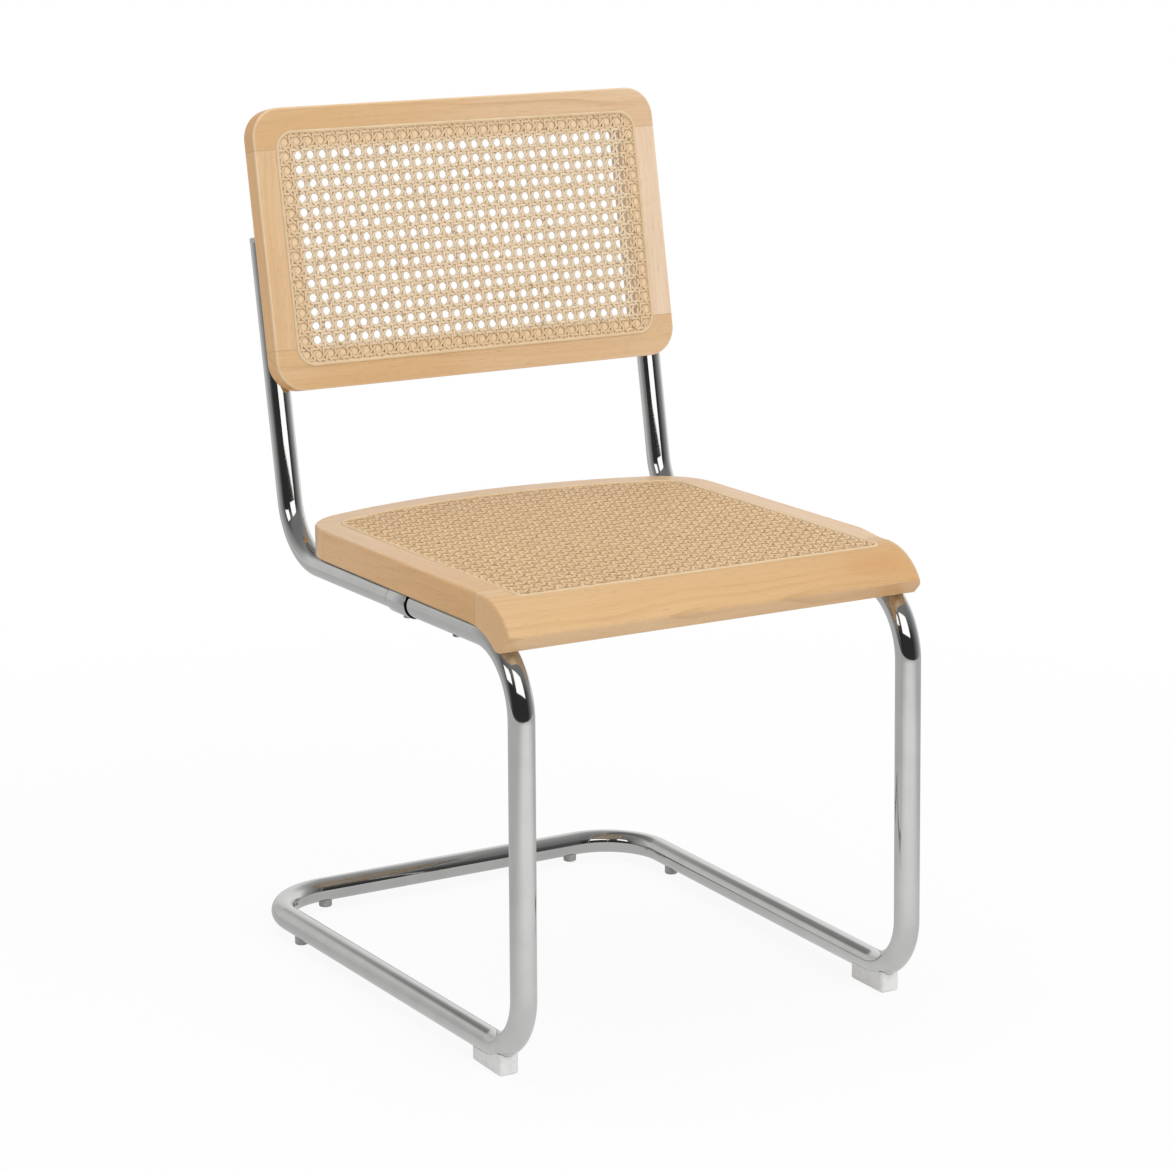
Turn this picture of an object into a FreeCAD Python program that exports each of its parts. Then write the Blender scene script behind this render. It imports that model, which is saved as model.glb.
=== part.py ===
import FreeCAD, Part
import math
import os

V = FreeCAD.Vector

os.makedirs("parts", exist_ok=True)

# A cantilever side chair: a bent steel tube frame carries a wooden seat frame and a wooden back frame,
# each filled with a woven cane panel that a reed spline holds in a groove.
# All lengths are millimetres. The frame is drawn level: depths (y) run from the axis of the front legs to the
# rear, heights (z) from the floor under those legs. The finished frame then leans back on its glides, and the
# origin moves to the floor under the middle of the base.

# Steel tube
TUBE_OD = 25.0
TUBE_WALL = 2.0
SEAT_RAIL_HEIGHT = 414.0        # axis of the rails under the seat
RUNNER_HEIGHT = 23.5            # axis of the runners on the floor
LEG_TOP_SPREAD = 421.6          # between the leg axes at the seat
LEG_FOOT_SPREAD = 427.6         # between the leg axes at the floor
REAR_SPREAD = 450.4             # between the runner axes at the crossbar
UPRIGHT_SPREAD = 432.4          # between the upright axes
BASE_DEPTH = 552.0              # leg axis to crossbar axis
SEAT_RAIL_LENGTH = 457.4        # leg axis to the point where the upright's axis meets the rail's
UPRIGHT_LENGTH = 314.0          # from that point to the open top of the upright
UPRIGHT_LEAN = 10.42            # degrees from the square to the seat rails
FRAME_LEAN = 0.5                # degrees the whole frame leans back, because the front glides are taller
FRONT_BEND = 70.0               # bend radii on the tube's axis
FOOT_BEND = 60.0
CORNER_BEND = 69.0
BACK_BEND = 66.0

# Swaged socket where the back tube takes the end of the base tube
SOCKET_MOUTH = 197.0            # depth of the socket's mouth
SOCKET_OD = 28.6
SOCKET_DEPTH = 36.0
SOCKET_STEP = 4.0               # length of the taper down to the plain tube
TUBE_FIT = 0.1                  # clearance on the radius in the socket and in the tube beds

# End caps of the uprights
CAP_THICKNESS = 5.0
CAP_PLUG = 14.0
PLUG_FIT = 0.1

# Glides
SHOE_START = 27.0               # front face of the shoe, behind the leg axis
SHOE_LENGTH = 55.0
SHOE_WIDTH = 21.0
SHOE_HEIGHT = 22.0
SHOE_ROUND = 4.0
SHOE_FOOT_ROUND = 3.0
SHOE_STEM_BACK = 44.0           # from the shoe's front face to its stem
GLIDE_DIAMETER = 14.0
GLIDE_FOOT_ROUND = 1.5
GLIDE_STEM = 7.0
STEM_REACH = 5.0                # how far a stem stands into the tube
RUNNER_GLIDE_DEPTH = 456.0
CROSSBAR_GLIDE_SPREAD = 300.0

# Seat frame
SEAT_WIDTH = 453.0
SEAT_THICKNESS = 30.0
SEAT_BED = 1.5                  # how deep the rails bed into the wood
SEAT_REAR = 468.0               # rear edge of the seat on its centre line
SEAT_BOW = 540.0                # radius of the bowed rear edge
SEAT_CORNER = 66.0              # radius of the rear corners
SEAT_MEMBER = 46.0              # width of the side and rear rails
SEAT_ROUND = 2.5                # rounding of the upper outer edge
RIGHT_END_INSET = 2.0           # the front rail's right end stands in from the side
RIGHT_END_ROUND = 12.0          # and is rounded more than the rest
RIGHT_END_EASE = 45.0           # length in which the right rail's edge runs into that rounding
RIGHT_EASE_START = 0.1          # that run starts this far off the rail's side
FRONT_JOINT = 57.0              # plane where the side rails meet the front rail
REAR_JOINT = 372.0              # plane where they meet the rear rail
SEAT_OPENING_CORNER = 14.0
WATERFALL_START = 45.0          # depth at which the front rail starts to fall away
WATERFALL_RADIUS = 61.0
WATERFALL_ANGLE = 60.0          # degrees of fall down to the nose
NOSE_BACK = 17.8                # the facet under the nose runs back and down
NOSE_DROP = 16.5
NOSE_ROUND = 2.5
LIP_ROUND = 2.0

# Back frame
BACK_WIDTH = 460.0
BACK_HEIGHT = 281.0
BACK_THICKNESS = 23.4
BACK_LIFT = 162.5               # from the foot of the upright's axis to the lower edge, along the upright
BACK_BED = 1.2
BACK_MEMBER = 41.5
BACK_CORNER = 30.0
BACK_OPENING_CORNER = 6.0
BACK_ROUND = 2.0

# Cane and spline
CANE_THICKNESS = 1.4
CANE_FIT = 0.05
SPLINE_WIDTH = 3.4
SPLINE_PROUD = 1.2
SPLINE_ROUND = 1.0
GROOVE_DEPTH = 7.0
CANE_SKIRT = 5.5                # how far the cane turns down into the groove
SEAT_MARGIN = 28.0              # wood left outside the groove
SEAT_CANE_FRONT = 28.0          # depth of the groove on the front rail
SEAT_CANE_FRONT_CORNER = 8.0
SEAT_CANE_REAR_CORNER = 28.0
BACK_MARGIN = 23.0
BACK_CANE_CORNER = 20.0
HOLE_DIAMETER = 7.2             # open meshes of the back panel
HOLE_PITCH_ACROSS = 13.2
HOLE_PITCH_UP = 14.1
HOLES_ACROSS = 25
HOLES_UP = 12

# Dowels and screws
DOWEL_DIAMETER = 8.0
DOWEL_LENGTH = 36.0
DOWEL_SPACING = 22.0
BACK_DOWEL_DIAMETER = 6.0
BACK_DOWEL_LENGTH = 30.0
BACK_DOWEL_DEPTH = 10.0         # dowel axis in front of the back's rear face
DOWEL_FIT = 0.05
DOWEL_END_GAP = 1.0
SCREW_DIAMETER = 5.0
SCREW_HEAD = 9.6
SCREW_HEAD_HEIGHT = 1.8
SCREW_BITE = 17.0               # length of screw in the wood
SCREW_FIT = 0.1
SEAT_SCREW_DEPTH = 118.0
LOWER_BACK_SCREW = 20.0         # above the back's lower edge
UPPER_BACK_SCREW = 25.0         # below the top of the upright

tube_r = TUBE_OD / 2
bore_r = tube_r - TUBE_WALL
fit_r = tube_r + TUBE_FIT
seat_bottom = SEAT_RAIL_HEIGHT + tube_r - SEAT_BED
seat_top = seat_bottom + SEAT_THICKNESS
groove_width = SPLINE_WIDTH + CANE_THICKNESS
far = 4 * BASE_DEPTH
lean = math.radians(UPRIGHT_LEAN)
up_lean = V(0, math.sin(lean), math.cos(lean))

# The lean of the whole frame, and the depth of the middle of the base once it leans
frame_place = FreeCAD.Placement(V(0, 0, 0), FreeCAD.Rotation(V(1, 0, 0), -FRAME_LEAN))
foot_centre = frame_place.multVec(V(0, FOOT_BEND, RUNNER_HEIGHT + FOOT_BEND))
base_front = foot_centre.y - FOOT_BEND - tube_r
base_rear = frame_place.multVec(V(0, BASE_DEPTH, RUNNER_HEIGHT)).y + tube_r
base_middle = (base_front + base_rear) / 2


def leaned(shape):
    """Moves a shape from the level frame to the frame as it leans on the floor."""
    moved = shape.copy()
    moved.Placement = frame_place.multiply(moved.Placement)
    return moved


def save_standing(name, shape):
    """Writes one piece that is already in its place on the floor."""
    piece = shape.copy()
    piece.translate(V(0, -base_middle, 0))
    piece.exportStep(os.path.join("parts", name + ".step"))


def save(name, shape):
    """Writes one piece of the level frame."""
    save_standing(name, leaned(shape))


def one_solid(shape):
    """The single solid of a boolean result."""
    if len(shape.Solids) != 1:
        raise ValueError("expected one solid, found %d" % len(shape.Solids))
    return shape.Solids[0]


def wire_of(edges):
    return Part.Wire(Part.__sortEdges__(edges))


def bent_rod(points, bends, radius):
    """A round rod along straight runs that are joined by tangent bends."""
    pieces = []
    start = points[0]
    for i in range(1, len(points) - 1):
        corner = points[i]
        behind = (points[i - 1] - corner).normalize()
        ahead = (points[i + 1] - corner).normalize()
        turn = math.pi - behind.getAngle(ahead)
        reach = bends[i - 1] * math.tan(turn / 2)
        bend_start = corner + behind * reach
        centre = corner + (behind + ahead).normalize() * (bends[i - 1] / math.cos(turn / 2))
        pieces.append(Part.makeCylinder(radius, start.distanceToPoint(bend_start), start, bend_start - start))
        disc = Part.Face(Part.Wire(Part.makeCircle(radius, bend_start, behind)))
        pieces.append(disc.revolve(centre, ahead.cross(behind), math.degrees(turn)))
        start = corner + ahead * reach
    pieces.append(Part.makeCylinder(radius, start.distanceToPoint(points[-1]), start, points[-1] - start))
    return one_solid(pieces[0].multiFuse(pieces[1:]))


def rail_point(side, depth):
    """A point on the axis of the seat rail; side is -1 on the left and +1 on the right."""
    share = depth / SEAT_RAIL_LENGTH
    half = (LEG_TOP_SPREAD + (UPRIGHT_SPREAD - LEG_TOP_SPREAD) * share) / 2
    return V(side * half, depth, SEAT_RAIL_HEIGHT)


def runner_point(side, depth):
    """A point on the axis of the runner."""
    half = (LEG_FOOT_SPREAD + (REAR_SPREAD - LEG_FOOT_SPREAD) * depth / BASE_DEPTH) / 2
    return V(side * half, depth, RUNNER_HEIGHT)


# Tube axes
rail_run = {side: (rail_point(side, SEAT_RAIL_LENGTH) - rail_point(side, 0)).normalize() for side in (-1, 1)}
socket_mouth = {side: rail_point(side, SOCKET_MOUTH) for side in (-1, 1)}
socket_floor = {side: socket_mouth[side] + rail_run[side] * SOCKET_DEPTH for side in (-1, 1)}
upright_foot = {side: rail_point(side, SEAT_RAIL_LENGTH) for side in (-1, 1)}
upright_top = {side: upright_foot[side] + up_lean * UPRIGHT_LENGTH for side in (-1, 1)}


def base_axis(side):
    """Corner points of one half of the base tube, from the socket to the crossbar."""
    return [
        socket_floor[side],
        rail_point(side, 0),
        runner_point(side, 0),
        runner_point(side, BASE_DEPTH),
    ]


base_points = base_axis(-1) + base_axis(1)[::-1]
base_bends = [FRONT_BEND, FOOT_BEND, CORNER_BEND, CORNER_BEND, FOOT_BEND, FRONT_BEND]
back_points = {side: [socket_mouth[side], upright_foot[side], upright_top[side]] for side in (-1, 1)}


def socket_rod(side, radius):
    return Part.makeCylinder(radius, SOCKET_DEPTH, socket_mouth[side], rail_run[side])


def tube_envelope(clearance):
    """All the tubes as solid rods, grown by a clearance, to cut their beds."""
    rods = [bent_rod(base_points, base_bends, tube_r + clearance)]
    for side in (-1, 1):
        rods.append(bent_rod(back_points[side], [BACK_BEND], tube_r + clearance))
        rods.append(socket_rod(side, SOCKET_OD / 2 + clearance))
        rods.append(Part.makeCone(SOCKET_OD / 2 + clearance, tube_r + clearance, SOCKET_STEP,
                                  socket_floor[side], rail_run[side]))
    return rods


# Local frame of the backrest: x across, y up along the uprights, z out of the front face
back_place = FreeCAD.Placement(V(0, SEAT_RAIL_LENGTH, SEAT_RAIL_HEIGHT),
                               FreeCAD.Rotation(V(1, 0, 0), 90 - UPRIGHT_LEAN))
back_rear_face = tube_r - BACK_BED
back_front_face = back_rear_face + BACK_THICKNESS
back_lower = BACK_LIFT
back_upper = BACK_LIFT + BACK_HEIGHT
back_middle = BACK_LIFT + BACK_HEIGHT / 2
back_screw_heights = [back_lower + LOWER_BACK_SCREW, UPRIGHT_LENGTH - UPPER_BACK_SCREW]


def on_back(shape):
    """Moves a shape from the backrest's local frame to its place on the chair."""
    moved = shape.copy()
    moved.Placement = back_place.multiply(moved.Placement)
    return moved


def screw(seat, along, length):
    """A pan-head screw whose head bears at a point and whose shank runs along a direction."""
    shank = Part.makeCylinder(SCREW_DIAMETER / 2, length, seat, along)
    head = Part.makeCylinder(SCREW_HEAD / 2, SCREW_HEAD_HEIGHT, seat, along * -1)
    rim = [e for e in head.Edges if e.Length > 1 and e.Curve.TypeId == "Part::GeomCircle"
           and (e.Curve.Center - seat).Length > SCREW_HEAD_HEIGHT / 2]
    head = head.makeFillet(SCREW_HEAD_HEIGHT * 0.6, rim)
    return one_solid(shank.fuse(head))


def screw_hole(seat, along, length):
    return Part.makeCylinder(SCREW_DIAMETER / 2 + SCREW_FIT, length, seat, along)


# Screws: through each seat rail and through each socket from below, two through each upright from behind
seat_screws = {}
seat_screw_holes = []
for side, word in ((-1, "left"), (1, "right")):
    for depth, radius, use in ((SEAT_SCREW_DEPTH, tube_r, "seat"),
                               (SOCKET_MOUTH + SOCKET_DEPTH / 2, SOCKET_OD / 2, "joint")):
        seat_point = rail_point(side, depth) - V(0, 0, radius)
        length = seat_bottom - seat_point.z + SCREW_BITE
        seat_screws["%s_%s_screw" % (word, use)] = screw(seat_point, V(0, 0, 1), length)
        seat_screw_holes.append(screw_hole(seat_point, V(0, 0, 1), length + SCREW_FIT))
back_screws = {-1: [], 1: []}
back_screw_holes = []
for side in (-1, 1):
    for height in back_screw_heights:
        seat_point = V(side * UPRIGHT_SPREAD / 2, height, -tube_r)
        length = tube_r + back_rear_face + SCREW_BITE
        back_screws[side].append(on_back(screw(seat_point, V(0, 0, 1), length)))
        back_screw_holes.append(screw_hole(seat_point, V(0, 0, 1), length + SCREW_FIT))

# Glides, made standing on the floor: a shoe or a button below the leaning tube and a stem up into it
tube_beds = tube_envelope(TUBE_FIT)
floor_bed = leaned(tube_beds[0])


def stem(point):
    """The stem of a glide, standing through the lower wall of the tube at a point of its axis."""
    foot = 2 * GLIDE_FOOT_ROUND
    return Part.makeCylinder(GLIDE_STEM / 2, point.z - bore_r + STEM_REACH - foot, V(point.x, point.y, foot))


def stem_hole(point):
    return Part.makeCylinder(GLIDE_STEM / 2 + PLUG_FIT, point.z, V(point.x, point.y, 0))


def shoe_glide(front, stem_point):
    """A shoe under the bend of the foot, hollowed to the tube that it carries."""
    body = Part.makeBox(SHOE_WIDTH, SHOE_LENGTH, SHOE_HEIGHT, V(front.x - SHOE_WIDTH / 2, front.y, 0))
    upright_edges = [e for e in body.Edges if abs(e.tangentAt(e.FirstParameter).z) > 0.9]
    body = body.makeFillet(SHOE_ROUND, upright_edges)
    body = body.makeFillet(SHOE_FOOT_ROUND, [e for e in body.Edges if e.BoundBox.ZMax < 0.01])
    body = one_solid(body.cut(floor_bed))
    return one_solid(body.fuse(stem(stem_point)))


def button_glide(point):
    """A round glide with a stem."""
    body = Part.makeCylinder(GLIDE_DIAMETER / 2, point.z, V(point.x, point.y, 0))
    body = body.makeFillet(GLIDE_FOOT_ROUND, [e for e in body.Edges if e.BoundBox.ZMax < 0.01])
    body = one_solid(body.cut(floor_bed))
    return one_solid(body.fuse(stem(point)))


glides = {}
stem_holes = []
for side, word in ((-1, "left"), (1, "right")):
    shoe_front = frame_place.multVec(runner_point(side, SHOE_START))
    shoe_stem = frame_place.multVec(runner_point(side, SHOE_START + SHOE_STEM_BACK))
    runner_glide = frame_place.multVec(runner_point(side, RUNNER_GLIDE_DEPTH))
    crossbar_glide = frame_place.multVec(V(side * CROSSBAR_GLIDE_SPREAD / 2, BASE_DEPTH, RUNNER_HEIGHT))
    glides[word + "_front_glide"] = shoe_glide(shoe_front, shoe_stem)
    glides[word + "_runner_glide"] = button_glide(runner_glide)
    glides[word + "_crossbar_glide"] = button_glide(crossbar_glide)
    for point in (shoe_stem, runner_glide, crossbar_glide):
        stem_holes.append(stem_hole(point))

# Base tube: one length, from the left socket round the floor to the right socket
base_tube = bent_rod(base_points, base_bends, tube_r).cut(bent_rod(base_points, base_bends, bore_r))
base_tube = leaned(one_solid(base_tube.cut(seat_screw_holes)))
save_standing("base_frame_tube", one_solid(base_tube.cut(stem_holes)))
for name, glide in glides.items():
    save_standing(name, glide)

# Back tubes: socket, rear half of the rail, bend and upright, and the cap in the open top
for side, word in ((-1, "left"), (1, "right")):
    rod = bent_rod(back_points[side], [BACK_BEND], tube_r)
    taper = Part.makeCone(SOCKET_OD / 2, tube_r, SOCKET_STEP, socket_floor[side], rail_run[side])
    rod = rod.multiFuse([socket_rod(side, SOCKET_OD / 2), taper])
    tube = rod.cut([bent_rod(back_points[side], [BACK_BEND], bore_r), socket_rod(side, fit_r)])
    tube = tube.cut(seat_screw_holes + [on_back(hole) for hole in back_screw_holes])
    save(word + "_back_tube", one_solid(tube))
    cap = Part.makeCylinder(tube_r, CAP_THICKNESS, upright_top[side], up_lean)
    rim = [e for e in cap.Edges if (e.CenterOfMass - upright_top[side]).dot(up_lean) > CAP_THICKNESS * 0.9]
    cap = cap.makeFillet(CAP_THICKNESS * 0.3, rim)
    plug = Part.makeCylinder(bore_r - PLUG_FIT, CAP_PLUG, upright_top[side], up_lean * -1)
    save(word + "_tube_cap", one_solid(cap.fuse(plug)))
    save(word + "_back_screws", Part.Compound(back_screws[side]))
for name, shape in seat_screws.items():
    save(name, shape)


# Seat frame
def seat_plan(inset, front, rear_corner, front_corner):
    """Plan outline of the seat, inset from its sides and its bowed rear edge."""
    half = SEAT_WIDTH / 2 - inset
    bow = SEAT_BOW - inset
    bow_centre = V(0, SEAT_REAR - SEAT_BOW, 0)
    reach = half - rear_corner
    corner = bow_centre + V(reach, math.sqrt((bow - rear_corner) ** 2 - reach ** 2), 0)
    outward = (corner - bow_centre).normalize()
    halfway = (outward + V(1, 0, 0)).normalize()
    bow_end = corner + outward * rear_corner
    corner_middle = corner + halfway * rear_corner
    flip = lambda p: V(-p.x, p.y, p.z)
    side_end = V(half, corner.y, 0)
    edges = [Part.Arc(bow_end, V(0, bow_centre.y + bow, 0), flip(bow_end)).toShape()]
    edges.append(Part.Arc(side_end, corner_middle, bow_end).toShape())
    edges.append(Part.Arc(flip(side_end), flip(corner_middle), flip(bow_end)).toShape())
    side_start = V(half, front + front_corner, 0)
    edges.append(Part.LineSegment(side_start, side_end).toShape())
    edges.append(Part.LineSegment(flip(side_start), flip(side_end)).toShape())
    front_end = V(half - front_corner, front, 0)
    edges.append(Part.LineSegment(flip(front_end), front_end).toShape())
    if front_corner > 0:
        turn = V(half - front_corner, front + front_corner, 0)
        middle = turn + V(1, -1, 0).normalize() * front_corner
        edges.append(Part.Arc(front_end, middle, side_start).toShape())
        edges.append(Part.Arc(flip(front_end), flip(middle), flip(side_start)).toShape())
    return wire_of(edges)


def seat_prism(inset, front, rear_corner, front_corner):
    """That outline as an upright prism, taller than the seat."""
    face = Part.Face(seat_plan(inset, front, rear_corner, front_corner))
    return face.extrude(V(0, 0, 2 * seat_top))


def above_seat(depth):
    """Everything above a surface that lies at a depth under the seat's top and waterfall."""
    radius = WATERFALL_RADIUS - depth
    centre = V(-far / 2, WATERFALL_START, seat_top - WATERFALL_RADIUS)
    start = centre + V(0, 0, radius)
    fall = math.radians(WATERFALL_ANGLE)
    middle = centre + V(0, -math.sin(fall / 2), math.cos(fall / 2)) * radius
    end = centre + V(0, -math.sin(fall), math.cos(fall)) * radius
    rear = V(-far / 2, far, start.z)
    roof_rear = V(-far / 2, far, far)
    roof_front = V(-far / 2, -far, far)
    front = V(-far / 2, -far, end.z)
    corners = [start, rear, roof_rear, roof_front, front, end]
    edges = [Part.LineSegment(a, b).toShape() for a, b in zip(corners, corners[1:])]
    edges.append(Part.Arc(end, middle, start).toShape())
    return Part.Face(wire_of(edges)).extrude(V(far, 0, 0))


fall = math.radians(WATERFALL_ANGLE)
nose = V(0, WATERFALL_START - WATERFALL_RADIUS * math.sin(fall),
         seat_top - WATERFALL_RADIUS * (1 - math.cos(fall)))
lip = nose + V(0, NOSE_BACK, -NOSE_DROP)
bed_arc_r = FRONT_BEND + tube_r - SEAT_BED
bend_height = SEAT_RAIL_HEIGHT - FRONT_BEND


def seat_section():
    """Section of the seat from its nose to its rear: the underside follows the bend of the tube."""
    bend_centre = V(0, FRONT_BEND, bend_height)
    rise = math.asin((lip.z - bend_height) / bed_arc_r)
    heel = bend_centre + V(0, -math.cos(rise), math.sin(rise)) * bed_arc_r
    half_rise = (rise + math.pi / 2) / 2
    heel_middle = bend_centre + V(0, -math.cos(half_rise), math.sin(half_rise)) * bed_arc_r
    heel_end = bend_centre + V(0, 0, bed_arc_r)
    crest = V(0, WATERFALL_START, seat_top)
    waterfall_middle = crest + V(0, -math.sin(fall / 2), math.cos(fall / 2) - 1) * WATERFALL_RADIUS
    rear_top = V(0, SEAT_REAR + SEAT_MEMBER, seat_top)
    rear_bottom = V(0, SEAT_REAR + SEAT_MEMBER, seat_bottom)
    edges = [
        Part.Arc(nose, waterfall_middle, crest).toShape(),
        Part.LineSegment(crest, rear_top).toShape(),
        Part.LineSegment(rear_top, rear_bottom).toShape(),
        Part.LineSegment(rear_bottom, heel_end).toShape(),
        Part.Arc(heel_end, heel_middle, heel).toShape(),
        Part.LineSegment(heel, lip).toShape(),
        Part.LineSegment(lip, nose).toShape(),
    ]
    section = Part.Face(wire_of(edges)).extrude(V(SEAT_WIDTH, 0, 0))
    section.translate(V(-SEAT_WIDTH / 2, 0, 0))
    return section


def edges_along_x(shape, point):
    """Straight edges across the chair that pass over a point of the section."""
    found = []
    for edge in shape.Edges:
        middle = edge.CenterOfMass
        if edge.Curve.TypeId == "Part::GeomLine" and abs(edge.tangentAt(edge.FirstParameter).x) > 0.99:
            if math.hypot(middle.y - point.y, middle.z - point.z) < 0.01:
                found.append(edge)
    return found


def span(x0, x1, y0, y1):
    """A tall block between two sides and two depths."""
    return Part.makeBox(x1 - x0, y1 - y0, 2 * seat_top, V(x0, y0, 0))


# How far each end of the front rail reaches from the middle, and how much it is rounded
front_ends = {-1: (SEAT_WIDTH / 2, SEAT_ROUND), 1: (SEAT_WIDTH / 2 - RIGHT_END_INSET, RIGHT_END_ROUND)}


def end_corner(side, depth, reach, rounding):
    """Start, middle and end of the arc that rounds an upper outer corner."""
    bulge = rounding * (1 - math.sqrt(0.5))
    shoulder = V(side * reach, depth, seat_top - rounding)
    middle = V(side * (reach - bulge), depth, seat_top - bulge)
    crown = V(side * (reach - rounding), depth, seat_top)
    return shoulder, middle, crown


def lines_through(corners):
    return [Part.LineSegment(a, b).toShape() for a, b in zip(corners, corners[1:])]


def end_profile(floor):
    """Front view of the front rail's envelope: its upper ends are rounded."""
    left, left_middle, left_crown = end_corner(-1, WATERFALL_START, *front_ends[-1])
    right, right_middle, right_crown = end_corner(1, WATERFALL_START, *front_ends[1])
    edges = lines_through([left, V(left.x, left.y, floor), V(right.x, right.y, floor), right])
    edges += lines_through([left_crown, right_crown])
    edges.append(Part.Arc(left, left_middle, left_crown).toShape())
    edges.append(Part.Arc(right, right_middle, right_crown).toShape())
    return Part.Face(wire_of(edges))


def front_plan():
    """Plan of the front rail as an upright prism: square on the left, rounded at the nose on the right."""
    left = -front_ends[-1][0]
    right, rounding = front_ends[1]
    turn = V(right - rounding, nose.y + rounding, 0)
    corners = [V(right, turn.y, 0), V(right, FRONT_JOINT, 0), V(left, FRONT_JOINT, 0), V(left, nose.y, 0),
               V(turn.x, nose.y, 0)]
    middle = turn + V(1, -1, 0).normalize() * rounding
    edges = lines_through(corners) + [Part.Arc(corners[-1], middle, corners[0]).toShape()]
    return Part.Face(wire_of(edges)).extrude(V(0, 0, 2 * seat_top))


def right_ease():
    """What comes off the right side rail so that its edge runs into the rounded end of the front rail."""
    wires = []
    outside = V(SEAT_WIDTH, 0, 0)
    start = (SEAT_WIDTH / 2 + RIGHT_EASE_START, SEAT_ROUND)
    for depth, end in ((FRONT_JOINT, front_ends[1]), (FRONT_JOINT + RIGHT_END_EASE, start)):
        shoulder, middle, crown = end_corner(1, depth, *end)
        foot = V(shoulder.x, depth, seat_bottom - SEAT_THICKNESS)
        roof = V(crown.x, depth, seat_top + SEAT_THICKNESS)
        edges = [Part.Arc(crown, middle, shoulder).toShape()]
        edges += lines_through([shoulder, foot, foot + outside, roof + outside, roof, crown])
        wires.append(Part.Wire(edges))
    return Part.makeLoft(wires, True, True)


# The front rail's ends are rounded along the top and down the waterfall
section = seat_section()
section = section.makeFillet(NOSE_ROUND, edges_along_x(section, nose))
section = section.makeFillet(LIP_ROUND, edges_along_x(section, lip))
waterfall_axis = V(0, WATERFALL_START, seat_top - WATERFALL_RADIUS)
fall_envelope = end_profile(waterfall_axis.z).revolve(waterfall_axis, V(1, 0, 0), 180)
flat_envelope = end_profile(0).extrude(V(0, FRONT_JOINT - WATERFALL_START, 0))
front_body = section.common(fall_envelope.fuse(flat_envelope)).common(front_plan())

# The sides and the bowed rear share one rounded upper edge
rear_body = section.common(seat_prism(0, FRONT_JOINT, SEAT_CORNER, 0))
upper_edges = [e for e in rear_body.Edges if abs(e.BoundBox.ZMin - seat_top) < 0.01
               and e.CenterOfMass.y > FRONT_JOINT + SEAT_ROUND]
rear_body = one_solid(rear_body).makeFillet(SEAT_ROUND, upper_edges).cut(right_ease())


def seat_loop(inset):
    """Prism inside the line of the groove, inset from the groove's outer wall."""
    return seat_prism(SEAT_MARGIN + inset, SEAT_CANE_FRONT + inset,
                      SEAT_CANE_REAR_CORNER - inset, SEAT_CANE_FRONT_CORNER - inset)


seat_opening = seat_prism(SEAT_MEMBER, FRONT_JOINT, SEAT_OPENING_CORNER, 0)
seat_groove = seat_loop(0).cut(seat_loop(groove_width)).common(above_seat(GROOVE_DEPTH))
seat_rebate = seat_loop(0).common(above_seat(CANE_THICKNESS + CANE_FIT))

# Dowels across the four joints of the seat frame
dowel_line = SEAT_WIDTH / 2 - SEAT_MEMBER / 2
dowel_height = seat_bottom + SEAT_THICKNESS * 0.42
seat_dowels = []
seat_dowel_holes = []
for side in (-1, 1):
    for joint in (FRONT_JOINT, REAR_JOINT):
        for step in (-0.5, 0.5):
            start = V(side * dowel_line + step * DOWEL_SPACING, joint - DOWEL_LENGTH / 2, dowel_height)
            seat_dowels.append(Part.makeCylinder(DOWEL_DIAMETER / 2, DOWEL_LENGTH, start, V(0, 1, 0)))
            mouth = start - V(0, DOWEL_END_GAP, 0)
            seat_dowel_holes.append(Part.makeCylinder(DOWEL_DIAMETER / 2 + DOWEL_FIT,
                                                      DOWEL_LENGTH + 2 * DOWEL_END_GAP, mouth, V(0, 1, 0)))
seat_cuts = [seat_opening, seat_groove, seat_rebate] + tube_beds + seat_dowel_holes + seat_screw_holes
front_body = front_body.cut(seat_cuts)
rear_body = rear_body.cut(seat_cuts)
save("seat_front_rail", one_solid(front_body))
save("seat_rear_rail", one_solid(rear_body.common(span(-far, far, REAR_JOINT, far))))
save("seat_left_rail", one_solid(rear_body.common(span(-far, 0, FRONT_JOINT, REAR_JOINT))))
save("seat_right_rail", one_solid(rear_body.common(span(0, far, FRONT_JOINT, REAR_JOINT))))
save("seat_dowels", Part.Compound(seat_dowels))

# Seat cane: a sheet in the rebate whose edge turns down into the groove, and the spline over it
cane_outside = SPLINE_WIDTH + CANE_FIT
seat_sheet = seat_loop(cane_outside).common(above_seat(CANE_THICKNESS).cut(above_seat(0)))
seat_skirt = seat_loop(cane_outside).cut(seat_loop(groove_width - CANE_FIT))
seat_skirt = seat_skirt.common(above_seat(CANE_SKIRT).cut(above_seat(0)))
save("seat_cane", one_solid(seat_sheet.fuse(seat_skirt)))
seat_spline = seat_loop(CANE_FIT).cut(seat_loop(SPLINE_WIDTH - CANE_FIT))
seat_spline = seat_spline.common(above_seat(CANE_SKIRT).cut(above_seat(-SPLINE_PROUD)))
save("seat_spline", one_solid(seat_spline))


# Backrest, built flat in its local frame and then leaned back
def rounded_plate(inset, corner, z0, z1):
    """A rounded rectangle, inset from the backrest's outline, between two levels."""
    half = BACK_WIDTH / 2 - inset
    low = back_lower + inset
    high = back_upper - inset
    block = Part.makeBox(2 * half, high - low, z1 - z0, V(-half, low, z0))
    return block.makeFillet(corner, [e for e in block.Edges if abs(e.tangentAt(e.FirstParameter).z) > 0.99])


def rim_at(shape, level):
    """The edges of a plate that lie at one level."""
    boxes = [(e, e.BoundBox) for e in shape.Edges]
    return [e for e, box in boxes if abs(box.ZMin - level) < 0.01 and abs(box.ZMax - level) < 0.01]


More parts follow.
